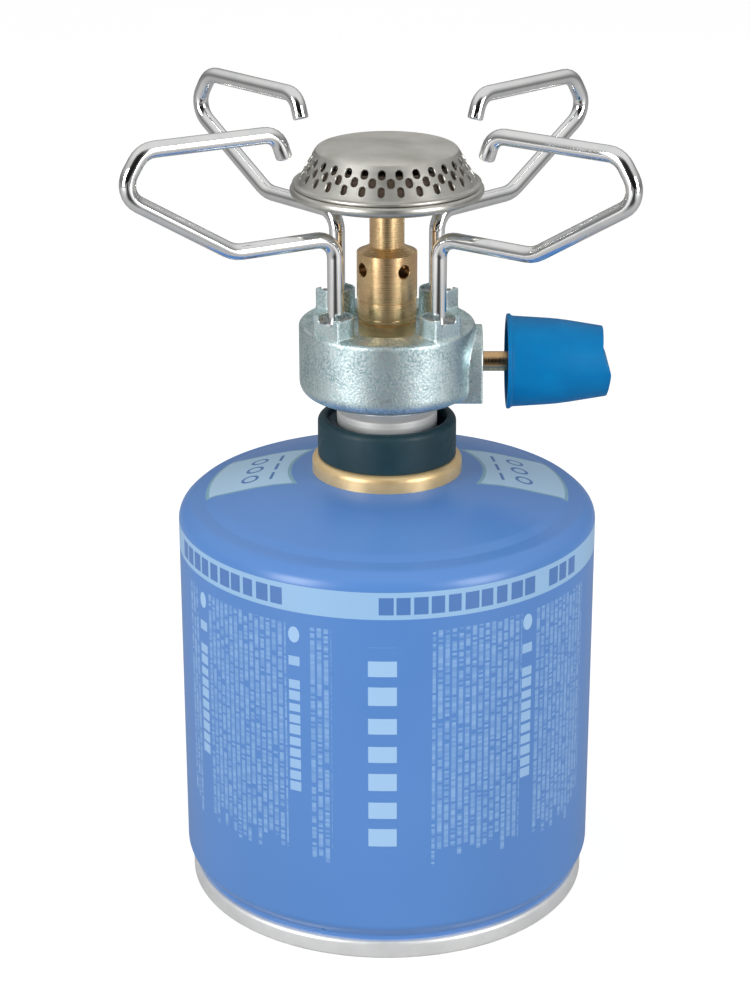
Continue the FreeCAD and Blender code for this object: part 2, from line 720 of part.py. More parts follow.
# ---------------------------------------------------------------- valve needle, spindle and knob
def make_valve_needle():
    """Needle that the spindle's screw pushes onto the seat without turning it."""
    start, end = NEEDLE_X
    tip_r = 0.1
    body_r = SPINDLE_R - 0.6
    cone_end = SEAT_X + 1.6
    return turned_part_x(
        [
            (start, 0.0),
            (start, tip_r),
            (cone_end, body_r),
            (end, body_r),
            (end, 0.0),
        ]
    )


def make_spindle():
    """Brass control spindle: round through the gland, flatted where the knob grips it."""
    start, end = SPINDLE_X
    spindle = turned_part_x(
        [
            (start, 0.0),
            (start, SPINDLE_R),
            (end, SPINDLE_R, 0.5),
            (end, 0.0),
        ]
    )
    flat = Part.makeBox(end, 10, 5, vec(KNOB_HUB_X, -5, SPINDLE_Z + SPINDLE_FLAT))
    return spindle.cut(flat)


def knob_end_cutter():
    """Everything beyond the knob's wavy end: a thumb scoop over a blunt nose, along Y."""
    tip = KNOB_X[1]
    face = outline_face(
        [
            (tip - 1.0, SPINDLE_Z + 16.0),
            (tip - 2.1, SPINDLE_Z + 4.2, 7.0),
            (tip + 0.1, SPINDLE_Z - 0.8, 3.5),
            (tip - 1.4, SPINDLE_Z - 16.0),
            (tip + 10.0, SPINDLE_Z - 16.0),
            (tip + 10.0, SPINDLE_Z + 16.0),
        ]
    )
    cutter = face.extrude(vec(0, 40, 0))
    cutter.translate(vec(0, -20, 0))
    return cutter


def make_control_knob():
    """Hollow tapered plastic knob with a lipped mouth, an inner hub and a scooped end."""
    start, end = KNOB_X
    mid = (start + end) / 2
    shell = turned_part_x(
        [
            (start, KNOB_MOUTH_R - KNOB_WALL + 0.3),
            (start, KNOB_LIP_R, 0.3),
            (start + 0.9, KNOB_LIP_R, 0.3),
            (start + 1.3, KNOB_MOUTH_R, 0.3),
            (mid, KNOB_MID_R, 60.0),
            (end + 1.0, KNOB_END_R),
            (end + 1.0, 0.0),
            (KNOB_FLOOR_X, 0.0),
            (KNOB_FLOOR_X, KNOB_END_R - KNOB_WALL + 0.4, 1.0),
            (mid, KNOB_MID_R - KNOB_WALL, 60.0),
        ]
    )
    hub = cylinder_x(KNOB_HUB_R, KNOB_HUB_X, KNOB_FLOOR_X + 0.5)
    knob = shell.fuse(hub).cut(make_spindle()).cut(knob_end_cutter())
    rim = [edge for edge in knob.Edges
           if edge.BoundBox.XMin > end - 4.0 and edge.BoundBox.YLength > KNOB_END_R]
    return knob.makeFillet(0.4, rim)


# ---------------------------------------------------------------- pan supports
def make_pan_support(stem_azimuth, arm_azimuth):
    """Bent wire: upright stem, lower run, outer corner, flat top run and turned-down tip."""
    path = Part.Wire(
        rounded_edges(
            [
                (0.0, WIRE_FOOT_Z, 0.0),
                (0.0, WIRE_LOWER_Z, 5.0),
                (*WIRE_KNEE, 8.0),
                (*WIRE_SHOULDER, 5.5),
                (WIRE_TOP_CORNER_R, WIRE_TOP_Z, 5.5),
                (WIRE_TIP_BEND_R, WIRE_TOP_Z, 4.5),
                (*WIRE_TIP, 0.0),
            ],
            closed=False,
        )
    )
    section = Part.Wire([Part.Circle(vec(0, 0, WIRE_FOOT_Z), Z_AXIS, WIRE_R).toShape()])
    wire = path.makePipeShell([section], True, False)
    washer_z = BOSS_TOP_Z - POCKET_DEPTH
    groove_r = WIRE_R - WIRE_GROOVE_DEPTH
    groove = ring(WIRE_R + 1, groove_r, washer_z - 0.2, washer_z + WASHER_H + 0.2)
    wire = wire.cut(groove)
    wire.rotate(ORIGIN, Z_AXIS, arm_azimuth)
    azimuth = math.radians(stem_azimuth)
    wire.translate(vec(STEM_AXIS_R * math.cos(azimuth), STEM_AXIS_R * math.sin(azimuth), 0))
    return wire


def make_parts():
    """All pieces by node name."""
    can_body = make_canister_body()
    parts = {
        "canister_body": can_body,
        "canister_base": make_canister_base(can_body),
        "valve_cup": make_valve_cup(can_body),
        "valve_housing": make_valve_housing(),
        "valve_gasket": make_valve_gasket(),
        "valve_stem": make_valve_stem(),
        "valve_spring": make_valve_spring(),
        "locking_collar": make_locking_collar(),
        "bayonet_neck": make_bayonet_neck(),
        "inlet_seal": make_inlet_seal(),
        "inlet_probe": make_inlet_probe(),
        "inlet_filter": make_inlet_filter(),
        "valve_body": make_valve_body(),
        "gland_bush": make_gland_bush(),
        "spindle_seal": make_spindle_seal(),
        "jet_holder": make_jet_holder(),
        "gas_jet": make_gas_jet(),
        "mixer_body": make_mixer_body(),
        "burner_tube": make_burner_tube(),
        "burner_dish": make_burner_dish(),
        "burner_cap": make_burner_cap(),
        "burner_gauze": make_burner_gauze(),
        "valve_needle": make_valve_needle(),
        "spindle": make_spindle(),
        "control_knob": make_control_knob(),
    }
    for place, stem_azimuth in STEM_AZ.items():
        parts["pan_support_" + place] = make_pan_support(stem_azimuth, SUPPORT_AZ[place])
        parts["retaining_washer_" + place] = make_retaining_washer(stem_azimuth)
    return parts


def export_parts():
    os.makedirs("parts", exist_ok=True)
    for node, shape in make_parts().items():
        solids = shape.Solids
        print(node, len(solids), "solid", round(shape.Volume, 2), "mm3", "valid", shape.isValid())
        shape.exportStep("parts/" + node + ".step")


export_parts()
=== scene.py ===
"""Looks of a canister stove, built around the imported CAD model.

Outlines and cutters are written in millimetres, from the sizes of the CAD nodes, and become
metres in the CAD's own frame. The front of the stove is -Y and its control knob points to +X.
"""

import json
import math

import bmesh
import bpy
from mathutils import Matrix, Vector


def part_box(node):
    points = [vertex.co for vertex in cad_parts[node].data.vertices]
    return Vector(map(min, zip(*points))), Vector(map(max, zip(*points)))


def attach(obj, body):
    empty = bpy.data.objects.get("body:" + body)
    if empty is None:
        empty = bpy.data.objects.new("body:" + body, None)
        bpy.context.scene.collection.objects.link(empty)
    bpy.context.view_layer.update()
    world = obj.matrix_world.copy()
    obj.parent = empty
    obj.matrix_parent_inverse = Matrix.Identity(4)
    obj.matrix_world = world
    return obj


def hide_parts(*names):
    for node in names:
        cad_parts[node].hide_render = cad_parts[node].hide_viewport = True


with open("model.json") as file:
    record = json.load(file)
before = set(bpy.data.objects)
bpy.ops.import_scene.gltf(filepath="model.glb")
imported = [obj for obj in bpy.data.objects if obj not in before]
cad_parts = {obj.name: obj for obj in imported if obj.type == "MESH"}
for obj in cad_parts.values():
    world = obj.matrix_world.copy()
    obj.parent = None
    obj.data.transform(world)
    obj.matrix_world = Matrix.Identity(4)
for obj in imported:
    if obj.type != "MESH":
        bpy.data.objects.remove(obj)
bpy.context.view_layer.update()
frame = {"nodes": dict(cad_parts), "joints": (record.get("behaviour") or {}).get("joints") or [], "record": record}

MM = 0.001
SEGMENTS = 192              # facets round a turned piece
FINE_SEGMENTS = 256         # facets round the widest sheets
ARC_STEP = math.radians(12)
SECTOR_STEP = 3             # degrees
SHARP_ANGLE = math.radians(32)
MERGE_DISTANCE = 1e-7       # metres
PLACES = ("front_left", "front_right", "back_left", "back_right")
UP = Vector((0, 0, 1))


# ---------------------------------------------------------------- sizes from the frame
def span(node):
    """Lowest and highest corner of a CAD node, in millimetres."""
    low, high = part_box(node)
    return low / MM, high / MM


def turned_size(node):
    """Largest radius, bottom and top of a CAD node turned about Z, in millimetres."""
    low, high = span(node)
    return max(high.x, high.y), low.z, high.z


def joint_place(body):
    """Where the hinge of a body stands, in millimetres."""
    joint = next(j for j in frame["joints"] if j["child"] == body)
    return Vector(joint["pos_m"]) / MM


SPINDLE_Z = joint_place("knob").z


# ---------------------------------------------------------------- outlines and shells
def rounded(corners, closed=True):
    """Points along straight runs joined by tangent arcs through (u, w[, radius]) corners."""
    count = len(corners)
    points = []
    for i, corner in enumerate(corners):
        here = Vector(corner[:2])
        radius = corner[2] if len(corner) > 2 else 0.0
        if radius == 0 or (not closed and i in (0, count - 1)):
            points.append(here)
            continue
        to_last = (Vector(corners[i - 1][:2]) - here).normalized()
        to_next = (Vector(corners[(i + 1) % count][:2]) - here).normalized()
        half = to_last.angle(to_next) / 2
        centre = here + (to_last + to_next).normalized() * (radius / math.sin(half))
        setback = radius / math.tan(half)
        start = here + to_last * setback - centre
        end = here + to_next * setback - centre
        turn = math.atan2(start.cross(end), start.dot(end))
        steps = max(2, math.ceil(abs(turn) / ARC_STEP))
        points += [centre + Matrix.Rotation(turn * k / steps, 2) @ start for k in range(steps + 1)]
    return points


def sheet_outline(corners, thickness):
    """Closed outline of a sheet whose outer face follows open (radius, height[, bend]) corners."""
    outer = rounded(corners, closed=False)
    inner = []
    for i, point in enumerate(outer):
        along = (outer[min(i + 1, len(outer) - 1)] - outer[max(i - 1, 0)]).normalized()
        inner.append(point + Vector((-along.y, along.x)) * thickness)
    return outer + inner[::-1]


def revolved(outline, segments=SEGMENTS):
    """Vertices and faces of a closed (radius, height) outline turned about Z."""
    vertices = []
    rings = []
    for radius, height in outline:
        first = len(vertices)
        if radius < 1e-6:
            vertices.append((0.0, 0.0, height))
            rings.append([first] * segments)
            continue
        for k in range(segments):
            angle = 2 * math.pi * k / segments
            vertices.append((radius * math.cos(angle), radius * math.sin(angle), height))
        rings.append(list(range(first, first + segments)))
    faces = []
    for i, ring in enumerate(rings):
        other = rings[(i + 1) % len(rings)]
        for k in range(segments):
            n = (k + 1) % segments
            quad = [ring[k], ring[n], other[n], other[k]]
            face = [v for j, v in enumerate(quad) if v != quad[j - 1]]
            if len(face) > 2:
                faces.append(face)
    return vertices, faces


def loft(sections):
    """Vertices and faces of a closed shell through equally long closed sections."""
    count = len(sections[0])
    vertices = [Vector(point) for section in sections for point in section]
    faces = [tuple(range(count))]
    faces.append(tuple(range(len(vertices) - 1, len(vertices) - count - 1, -1)))
    for i in range(len(sections) - 1):
        a = i * count
        for k in range(count):
            n = (k + 1) % count
            faces.append((a + k, a + n, a + count + n, a + count + k))
    return vertices, faces


def circle(radius, count=48):
    """Points round a circle."""
    angles = [2 * math.pi * k / count for k in range(count)]
    return [Vector((radius * math.cos(a), radius * math.sin(a))) for a in angles]


def post(radius, bottom, top, x=0.0, y=0.0):
    """Upright cylinder shell."""
    return loft([[(x + p.x, y + p.y, z) for p in circle(radius)] for z in (bottom, top)])


def bar_x(radius, start, end, y=0.0, z=0.0):
    """Cylinder shell along X."""
    return loft([[(x, y + p.x, z + p.y) for p in circle(radius)] for x in (start, end)])


def sector(outer, inner, middle, width, bottom, top):
    """Ring sector shell, width degrees wide about the azimuth middle.

    bottom and top give the heights at an offset in degrees from the middle.
    """
    steps = max(4, round(width / SECTOR_STEP))
    sections = []
    for k in range(steps + 1):
        offset = width * (k / steps - 0.5)
        angle = math.radians(middle + offset)
        ray = Vector((math.cos(angle), math.sin(angle)))
        corners = ((inner, bottom), (outer, bottom), (outer, top), (inner, top))
        sections.append([(*(ray * radius), height(offset)) for radius, height in corners])
    return loft(sections)


def moved(shell, matrix):
    """The shell moved or turned by a matrix."""
    vertices, faces = shell
    return [matrix @ Vector(v) for v in vertices], faces


def about_z(degrees):
    """Turn about Z."""
    return Matrix.Rotation(math.radians(degrees), 4, "Z")


def joined(shells):
    """One vertex list and face list from several."""
    vertices = []
    faces = []
    for shell_vertices, shell_faces in shells:
        offset = len(vertices)
        vertices += shell_vertices
        faces += [tuple(v + offset for v in face) for face in shell_faces]
    return vertices, faces


# ---------------------------------------------------------------- pieces
def shade(piece):
    """Smooth shading that keeps the sharp edges."""
    piece.data.shade_smooth()
    piece.data.set_sharp_from_angle(angle=SHARP_ANGLE)


def new_piece(name, shell):
    """Smooth-shaded mesh object from a shell in millimetres, with outward normals."""
    vertices, faces = shell
    mesh = bpy.data.meshes.new(name)
    mesh.from_pydata([Vector(v) * MM for v in vertices], [], faces)
    build = bmesh.new()
    build.from_mesh(mesh)
    bmesh.ops.remove_doubles(build, verts=build.verts, dist=MERGE_DISTANCE)
    bmesh.ops.recalc_face_normals(build, faces=build.faces)
    build.to_mesh(mesh)
    build.free()
    piece = bpy.data.objects.new(name, mesh)
    bpy.context.scene.collection.objects.link(piece)
    shade(piece)
    return piece


def lathe(name, corners, segments=SEGMENTS):
    """Turned piece about Z from a closed (radius, height[, bend]) outline."""
    return new_piece(name, revolved(rounded(corners), segments))


def lathe_x(name, corners, segments=SEGMENTS // 2):
    """Turned piece about the spindle's axis from a closed (x, radius[, bend]) outline."""
    vertices, faces = revolved([(point.y, point.x) for point in rounded(corners)], segments)
    return new_piece(name, ([(z, x, SPINDLE_Z + y) for x, y, z in vertices], faces))


def apply_modifiers(piece):
    """Turns the piece's modifiers into mesh."""
    graph = bpy.context.evaluated_depsgraph_get()
    mesh = bpy.data.meshes.new_from_object(piece.evaluated_get(graph))
    piece.modifiers.clear()
    piece.data = mesh
    shade(piece)


def combine(piece, shells, operation):
    """Adds shells to a piece (UNION) or cuts them out of it (DIFFERENCE)."""
    other = new_piece(piece.name + "_tool", joined(shells))
    step = piece.modifiers.new("combine", "BOOLEAN")
    step.operation = operation
    step.solver = "EXACT"
    step.use_self = True
    step.object = other
    apply_modifiers(piece)
    bpy.data.objects.remove(other)


def soften(piece, voxel, rounds):
    """Gives a cast or moulded piece its small rounded edges."""
    remesh = piece.modifiers.new("remesh", "REMESH")
    remesh.mode = "VOXEL"
    remesh.voxel_size = voxel * MM
    smooth = piece.modifiers.new("smooth", "SMOOTH")
    smooth.factor = 0.5
    smooth.iterations = rounds
    apply_modifiers(piece)


def swept(name, path, side, radius, end_round, facets=32):
    """Round wire along points that lie in a plane with normal side, with rounded ends."""
    first = (path[1] - path[0]).normalized()
    last = (path[-1] - path[-2]).normalized()
    quarter = [math.pi / 2 * k / 4 for k in range(5)]
    ends = [(end_round * (1 - math.cos(a)), radius - end_round * (1 - math.sin(a))) for a in quarter]
    stations = [(path[0] + first * back, first, r) for back, r in ends]
    for i in range(1, len(path) - 1):
        stations.append((path[i], (path[i + 1] - path[i - 1]).normalized(), radius))
    stations += [(path[-1] - last * back, last, r) for back, r in reversed(ends)]
    sections = []
    for point, along, r in stations:
        across = side.cross(along)
        sections.append([point + side * p.x + across * p.y for p in circle(r, facets)])
    return new_piece(name, loft(sections))


# ---------------------------------------------------------------- gas cartridge
CAN_SHEET = 0.5             # wall thickness of the can
CAN_NECK_IN = 2.6           # how far the wall steps in above the foot seam
MOUTH_IN = 37.2             # from the wall to the can's mouth
SEAM_HEIGHT = 4.9
SEAM_WIDTH = 3.4
CUP_BEAD = 3.9              # width of the gold bead


def make_can():
    """Can wall: neck over the foot seam, straight wall, stepped shoulder and rolled mouth."""
    r, bottom, top = turned_size("canister_body")
    corners = [
        (r - CAN_NECK_IN, bottom),
        (r - CAN_NECK_IN, bottom + 5.0, 1.0),
        (r, bottom + 8.3, 3.5),
        (r, top - 13.4, 4.2),
        (r - 3.2, top - 10.6, 2.4),
        (r - 6.6, top - 9.9, 2.4),
        (r - 9.0, top - 8.6, 3.5),
        (r - 23.5, top - 4.3, 60.0),
        (r - MOUTH_IN, top - 2.6, 1.2),
        (r - MOUTH_IN, top),
    ]
    return new_piece("can_wall", revolved(sheet_outline(corners, CAN_SHEET), FINE_SEGMENTS))


def make_base():
    """Rolled foot seam and the domed base panel inside it."""
    r, bottom, top = turned_size("canister_base")
    inner = r - SEAM_WIDTH
    dome = inner - 9.0
    return lathe("foot_seam", [
        (0.0, top),
        (0.0, top - CAN_SHEET),
        (dome, bottom + 6.0, 30.0),
        (inner - 0.1, bottom + 2.2, 1.0),
        (inner, bottom, 0.9),
        (r, bottom, 0.9),
        (r, bottom + SEAM_HEIGHT, 1.0),
        (inner + 0.5, bottom + SEAM_HEIGHT),
        (dome, bottom + 6.5, 30.0),
    ])


def make_cup():
    """Gold cup: rolled bead over the mouth, straight inner wall, floor and pedestal."""
    r, bottom, top = turned_size("valve_cup")
    wall = r - CUP_BEAD
    floor = bottom + CAN_SHEET
    skirt = top - 4.6
    pedestal_r = 5.6
    pedestal_top = floor + 5.5
    stem_hole = 2.55
    return lathe("gold_cup", [
        (wall + 0.9, skirt),
        (r, skirt, 0.3),
        (r, top, 1.7),
        (wall, top, 1.2),
        (wall, floor, 1.0),
        (pedestal_r, floor, 0.6),
        (pedestal_r, pedestal_top, 0.6),
        (stem_hole, pedestal_top),
        (stem_hole, pedestal_top - CAN_SHEET),
        (pedestal_r - CAN_SHEET, pedestal_top - CAN_SHEET),
        (pedestal_r - CAN_SHEET, bottom),
        (wall + CAN_SHEET, bottom, 1.4),
        (wall + CAN_SHEET, skirt),
    ])


# ---------------------------------------------------------------- bayonet: collar and neck
FIRST_LUG = 61.0            # azimuth of the first bayonet lug
LUG_STEP = 120.0
LUG_AZIMUTHS = [FIRST_LUG + i * LUG_STEP for i in range(3)]
LUG_WIDTH = 44              # degrees
LUG_R = 14.9
CATCH_WIDTH = 66            # degrees
STOP_WIDTH = 9              # degrees
STOP_OFFSET = 28.5          # degrees from a catch's middle to its stop
RAMP = 1.2 / 60.0           # climb of the bayonet's ramps per degree
NECK_R = 12.7
FLARE_R = NECK_R + 2.2      # neck under the casting
PROBE_BORE = 1.4


def make_collar():
    """Moulded locking collar with three ramped catches and their stops."""
    r, bottom, top = turned_size("locking_collar")
    bore = r - 2.4
    socket = r - 5.1
    floor = bottom + 11.4
    skirt = top - 10.3
    collar = lathe("locking_collar_visual", [
        (socket, bottom),
        (bore, bottom, 1.0),
        (bore, skirt),
        (r, skirt, 0.3),
        (r, top, 1.6),
        (bore, top, 0.6),
        (bore, floor),
        (socket, floor),
    ])
    catch_top = top - 1.4
    catch_mid = top - 4.7
    outer = bore + 1
    inner = bore - 2.15
    catches = []
    for middle in LUG_AZIMUTHS:
        catches.append(sector(outer, inner, middle, CATCH_WIDTH,
                              lambda offset: catch_mid + RAMP * offset, lambda offset: catch_top))
        catches.append(sector(outer, inner, middle - STOP_OFFSET, STOP_WIDTH,
                              lambda offset: floor - 0.5, lambda offset: catch_mid + 0.5))
    combine(collar, catches, "UNION")
    return collar


def make_neck():
    """Turned neck under the casting with its three ramped lugs."""
    low, high = span("bayonet_neck")
    bottom, top = low.z, high.z
    seat = top - 4.0
    foot_top = bottom + 6.4
    pocket_top = bottom + 8.9
    neck = lathe("neck", [
        (PROBE_BORE, bottom),
        (5.4, bottom, 0.4),
        (5.4, pocket_top, 0.5),
        (NECK_R - 2.2, pocket_top, 0.5),
        (NECK_R - 2.2, foot_top),
        (NECK_R, foot_top, 0.4),
        (NECK_R, bottom + 15.0, 0.3),
        (FLARE_R - 0.9, seat - 1.9, 0.3),
        (FLARE_R - 1.1, seat - 1.8),
        (FLARE_R - 1.0, seat - 1.5),
        (FLARE_R - 0.8, seat - 1.4, 0.2),
        (FLARE_R, seat - 0.2, 0.2),
        (FLARE_R, seat),
        (9.0, seat),
        (9.0, top),
        (7.5, top),
        (7.5, top - 1.5),
        (4.0, top - 1.5),
        (4.0, top - 9.0),
        (PROBE_BORE, top - 9.0),
    ])
    lug_bottom = bottom + 7.1
    lug_mid = bottom + 10.25
    lugs = [sector(LUG_R, NECK_R - 0.5, middle, LUG_WIDTH,
                   lambda offset: lug_bottom, lambda offset: lug_mid + RAMP * offset)
            for middle in LUG_AZIMUTHS]
    combine(neck, lugs, "UNION")
    return neck


# ---------------------------------------------------------------- head: casting and its fittings
BODY_R = 22.1
BODY_H = 18.5
CASTING_H = 23.6            # drum and bosses together
BOSS_R = 4.5
BOSS_FLAT = 21.3            # from the stove's axis to a boss's outer flat
POCKET_R = 4.1
POCKET_DEPTH = 1.5
RECESS_R = 13.7
RECESS_DEPTH = 2.7
LUG_ARCH_R = 9.3
WIRE_R = 2.0
WIRE_CLEARANCE = 0.05
SPINDLE_R = 2.5
SEAL_R = 4.5
CAST_VOXEL = 0.24
CAST_ROUNDS = 3


def boss_shell(stem, bottom, top):
    """Support boss at a stem: round towards the axis, flat towards the outside."""
    outward = Vector((stem.x, stem.y)).normalized()
    across = Vector((-outward.y, outward.x))
    flat = BOSS_FLAT - Vector((stem.x, stem.y)).length
    outline = [(flat, -BOSS_R), (flat, BOSS_R)]
    steps = 24
    for k in range(steps + 1):
        angle = math.pi / 2 + math.pi * k / steps
        outline.append((BOSS_R * math.cos(angle), BOSS_R * math.sin(angle)))
    points = [Vector((stem.x, stem.y)) + outward * u + across * w for u, w in outline]
    return loft([[(p.x, p.y, z) for p in points] for z in (bottom, top)])


def valve_lug_shell(low, high):
    """Arched lug round the spindle, from inside the drum to the casting's +X face."""
    steps = 32
    arch = [(-LUG_ARCH_R, low.z), (LUG_ARCH_R, low.z)]
    for k in range(steps + 1):
        angle = math.pi * k / steps
        arch.append((LUG_ARCH_R * math.cos(angle), SPINDLE_Z + LUG_ARCH_R * math.sin(angle)))
    return loft([[(x, y, z) for y, z in arch] for x in (14.2, high.x)])


def make_casting():
    """Die-cast drum with its valve lug, four bosses, top recess, pockets and bores."""
    low, high = span("valve_body")
    boss_top = high.z
    bottom = boss_top - CASTING_H
    top = bottom + BODY_H
    recess = top - RECESS_DEPTH
    casting = lathe("casting", [
        (0.0, bottom),
        (BODY_R, bottom, 3.4),
        (BODY_R, top, 1.0),
        (RECESS_R + 0.3, top, 0.4),
        (RECESS_R, recess, 0.6),
        (0.0, recess),
    ])
    stems = [joint_place("support_" + place) for place in PLACES]
    bosses = [boss_shell(stem, recess - 1, boss_top) for stem in stems]
    combine(casting, [valve_lug_shell(low, high)] + bosses, "UNION")
    cuts = [
        post(RECESS_R, low.z - 1, bottom),
        post(9.0, low.z - 1, bottom + 4),
        bar_x(SEAL_R, 15.4, high.x + 1, z=SPINDLE_Z),
        bar_x(SPINDLE_R + WIRE_CLEARANCE, 4.0, high.x + 1, z=SPINDLE_Z),
    ]
    for stem in stems:
        cuts.append(post(POCKET_R, boss_top - POCKET_DEPTH, boss_top + 1, stem.x, stem.y))
        cuts.append(post(WIRE_R + WIRE_CLEARANCE, bottom + 8.5, boss_top + 1, stem.x, stem.y))
    combine(casting, cuts, "DIFFERENCE")
    soften(casting, CAST_VOXEL, CAST_ROUNDS)
    return casting


def make_star_washer(place):
    """Spring washer with four notches, pressed into a boss's pocket."""
    low, high = span("retaining_washer_" + place)
    stem = joint_place("support_" + place)
    count = 96
    notch_half_width = 8    # degrees
    outline = []
    for k in range(count):
        angle = 2 * math.pi * k / count
        notch = abs((math.degrees(angle) % 90) - 45) < notch_half_width
        r = POCKET_R - 1.3 if notch else POCKET_R - 0.03
        outline.append((stem.x + r * math.cos(angle), stem.y + r * math.sin(angle)))
    shell = loft([[(x, y, z) for x, y in outline] for z in (low.z, high.z)])
    washer = new_piece("star_washer_" + place, shell)
    combine(washer, [post(WIRE_R - 0.25, low.z - 1, high.z + 1, stem.x, stem.y)], "DIFFERENCE")
    return washer


def make_gland():
    """Brass bush that holds the seal round the spindle."""
    low, high = span("gland_bush")
    bore = SPINDLE_R + WIRE_CLEARANCE
    return lathe_x("gland", [
        (low.x, bore),
        (low.x, SEAL_R),
        (high.x, SEAL_R, 0.4),
        (high.x, bore, 0.3),
    ])


# ---------------------------------------------------------------- head: mixer
MIXER_BORE = 5.5
AIR_HOLES = (35.0, 125.0, 215.0, 305.0)
AIR_HOLE_R = 1.7


def make_jet_holder():
    """Brass base of the mixer with a turned groove, a spigot and the jet's seat."""
    r, bottom, top = turned_size("jet_holder")
    seat = bottom + 3.5
    rim = top - 3.0
    return lathe("mixer_foot", [
        (1.5, bottom),
        (5.0, bottom),
        (5.0, seat),
        (r, seat),
        (r, rim - 1.6),
        (r - 0.35, rim - 1.45),
        (r - 0.35, rim - 1.2),
        (r, rim - 1.05),
        (r, rim, 0.25),
        (MIXER_BORE, rim),
        (MIXER_BORE, top, 0.5),
        (2.2, top),
        (2.2, rim - 2.0),
        (1.5, rim - 2.0),
    ])


def make_mixer():
    """Brass mixer sleeve with turned bands, a shallow cone on top and four air holes."""
    r, bottom, top = turned_size("mixer_body")
    tube_r = 4.34
    band_top = bottom + 4.0
    shoulder = top - 1.5
    mixer = lathe("mixer", [
        (MIXER_BORE, bottom),
        (r - 0.14, bottom, 0.25),
        (r - 0.14, band_top, 0.1),
        (r - 0.3, band_top + 0.1),
        (r - 0.3, band_top + 0.35),
        (r, band_top + 0.5, 0.1),
        (r, shoulder, 0.2),
        (r - 0.7, shoulder + 0.25),
        (tube_r, top),
        (tube_r, shoulder - 2.2),
        (MIXER_BORE, shoulder - 2.2),
    ])
    hole_z = shoulder - 3.8
    stations = ((3.0, AIR_HOLE_R), (r - 0.25, AIR_HOLE_R), (r + 0.3, AIR_HOLE_R + 0.4))
    hole = loft([[(x, p.x, p.y + hole_z) for p in circle(hole_r)] for x, hole_r in stations])
    combine(mixer, [moved(hole, about_z(azimuth)) for azimuth in AIR_HOLES], "DIFFERENCE")
    return mixer


def make_tube():
    """Plain brass tube from the mixer to the burner."""
    r, bottom, top = turned_size("burner_tube")
    bore = 3.4
    return lathe("tube", [(bore, bottom), (r, bottom), (r, top, 0.2), (bore, top)])


# ---------------------------------------------------------------- head: burner
CAP_FOOT_R = 22.2
CAP_TOP_R = 17.2
CAP_SHEET = 0.7
CAP_FLANGE = 0.8
PORTS = 28                  # in each row
PORT_ROWS = (               # depth under the top, width, length, offset in ports
    (2.7, 1.7, 2.3, 0.0),
    (4.5, 1.7, 2.3, 0.5),
    (6.4, 1.5, 2.4, 0.0),
)
FIRST_PORT = 266.2          # azimuth


def make_dish():
    """Pressed dish: hub on the tube, sloping floor and rolled outer lip."""
    r, bottom, top = turned_size("burner_dish")
    hub = turned_size("burner_tube")[0]
    return lathe("dish", [
        (hub, bottom),
        (hub + 1.0, bottom, 0.3),
        (hub + 1.4, bottom + 1.6, 0.8),
        (r - 2.6, bottom + 3.0, 2.0),
        (r, bottom + 4.1, 1.2),
        (r, top, 1.1),
        (r - 2.25, top, 0.3),
        (r - 2.55, bottom + 4.4, 0.8),
        (hub, bottom + 2.4),
    ], FINE_SEGMENTS)


def port_shell(cap_top, foot_z, row, index):
    """Cutter for one port: a stadium slot square to the cone, flared at the outer face."""
    depth, width, length, offset = row
    slope = math.atan2(CAP_FOOT_R - CAP_TOP_R, cap_top - foot_z)
    height = cap_top - depth
    radius = CAP_FOOT_R - (height - foot_z) * math.tan(slope)
    normal = Vector((math.cos(slope), 0, math.sin(slope)))
    rise = Vector((-math.sin(slope), 0, math.cos(slope)))
    centre = Vector((radius, 0, height))
    half = (length - width) / 2
    sections = []
    for out, grow in ((-2.0, 0.0), (-0.28, 0.0), (0.25, 0.3)):
        section = []
        for p in circle(width / 2 + grow, 28):
            shift = half if p.y > 0 else -half
            section.append(centre + normal * out + Vector((0, p.x, 0)) + rise * (p.y + shift))
        sections.append(section)
    return moved(loft(sections), about_z(FIRST_PORT + (index + offset) * 360 / PORTS))


def make_cap():
    """Pressed cap: flange, cone with three staggered rows of ports, flat top."""
    r, bottom, top = turned_size("burner_cap")
    foot_z = bottom + CAP_FLANGE
    cap = lathe("cap", [
        (0.0, top - 0.6),
        (CAP_TOP_R - 0.5, top - 0.6, 1.2),
        (CAP_FOOT_R - CAP_SHEET, foot_z),
        (CAP_FOOT_R - CAP_SHEET, bottom),
        (r, bottom, 0.3),
        (r, foot_z, 0.3),
        (CAP_FOOT_R, foot_z, 0.4),
        (CAP_TOP_R, top, 1.8),
        (0.0, top),
    ], PORTS * 10)
    ports = [port_shell(top, foot_z, row, i) for row in PORT_ROWS for i in range(PORTS)]
    combine(cap, ports, "DIFFERENCE")
    return cap


def make_gauze():
    """Thin cone just inside the cap's ports."""
    r, bottom, top = turned_size("burner_gauze")
    cap_low, cap_high = span("burner_cap")
    cone_height = cap_high.z - cap_low.z - CAP_FLANGE
    top_r = r - (top - bottom) * (CAP_FOOT_R - CAP_TOP_R) / cone_height
    sheet = 0.25
    return lathe("gauze", [(r - sheet, bottom), (r, bottom), (top_r, top), (top_r - sheet, top)])


# ---------------------------------------------------------------- spindle and knob
KNOB_LIP_R = 12.0
KNOB_VOXEL = 0.22
KNOB_ROUNDS = 4


def make_spindle():
    """Brass spindle, flatted inside the knob."""
    low, high = span("spindle")
    spindle = lathe_x("spindle_visual", [
        (low.x, 0.0),
        (low.x, SPINDLE_R),
        (high.x, SPINDLE_R, 0.5),
        (high.x, 0.0),
    ])
    flat_start = 35
    flat_z = SPINDLE_Z + 1.6
    above = SPINDLE_Z + 5
    section = ((-4, flat_z), (4, flat_z), (4, above), (-4, above))
    flat = loft([[(x, y, z) for y, z in section] for x in (flat_start, high.x + 1)])
    combine(spindle, [flat], "DIFFERENCE")
    return spindle


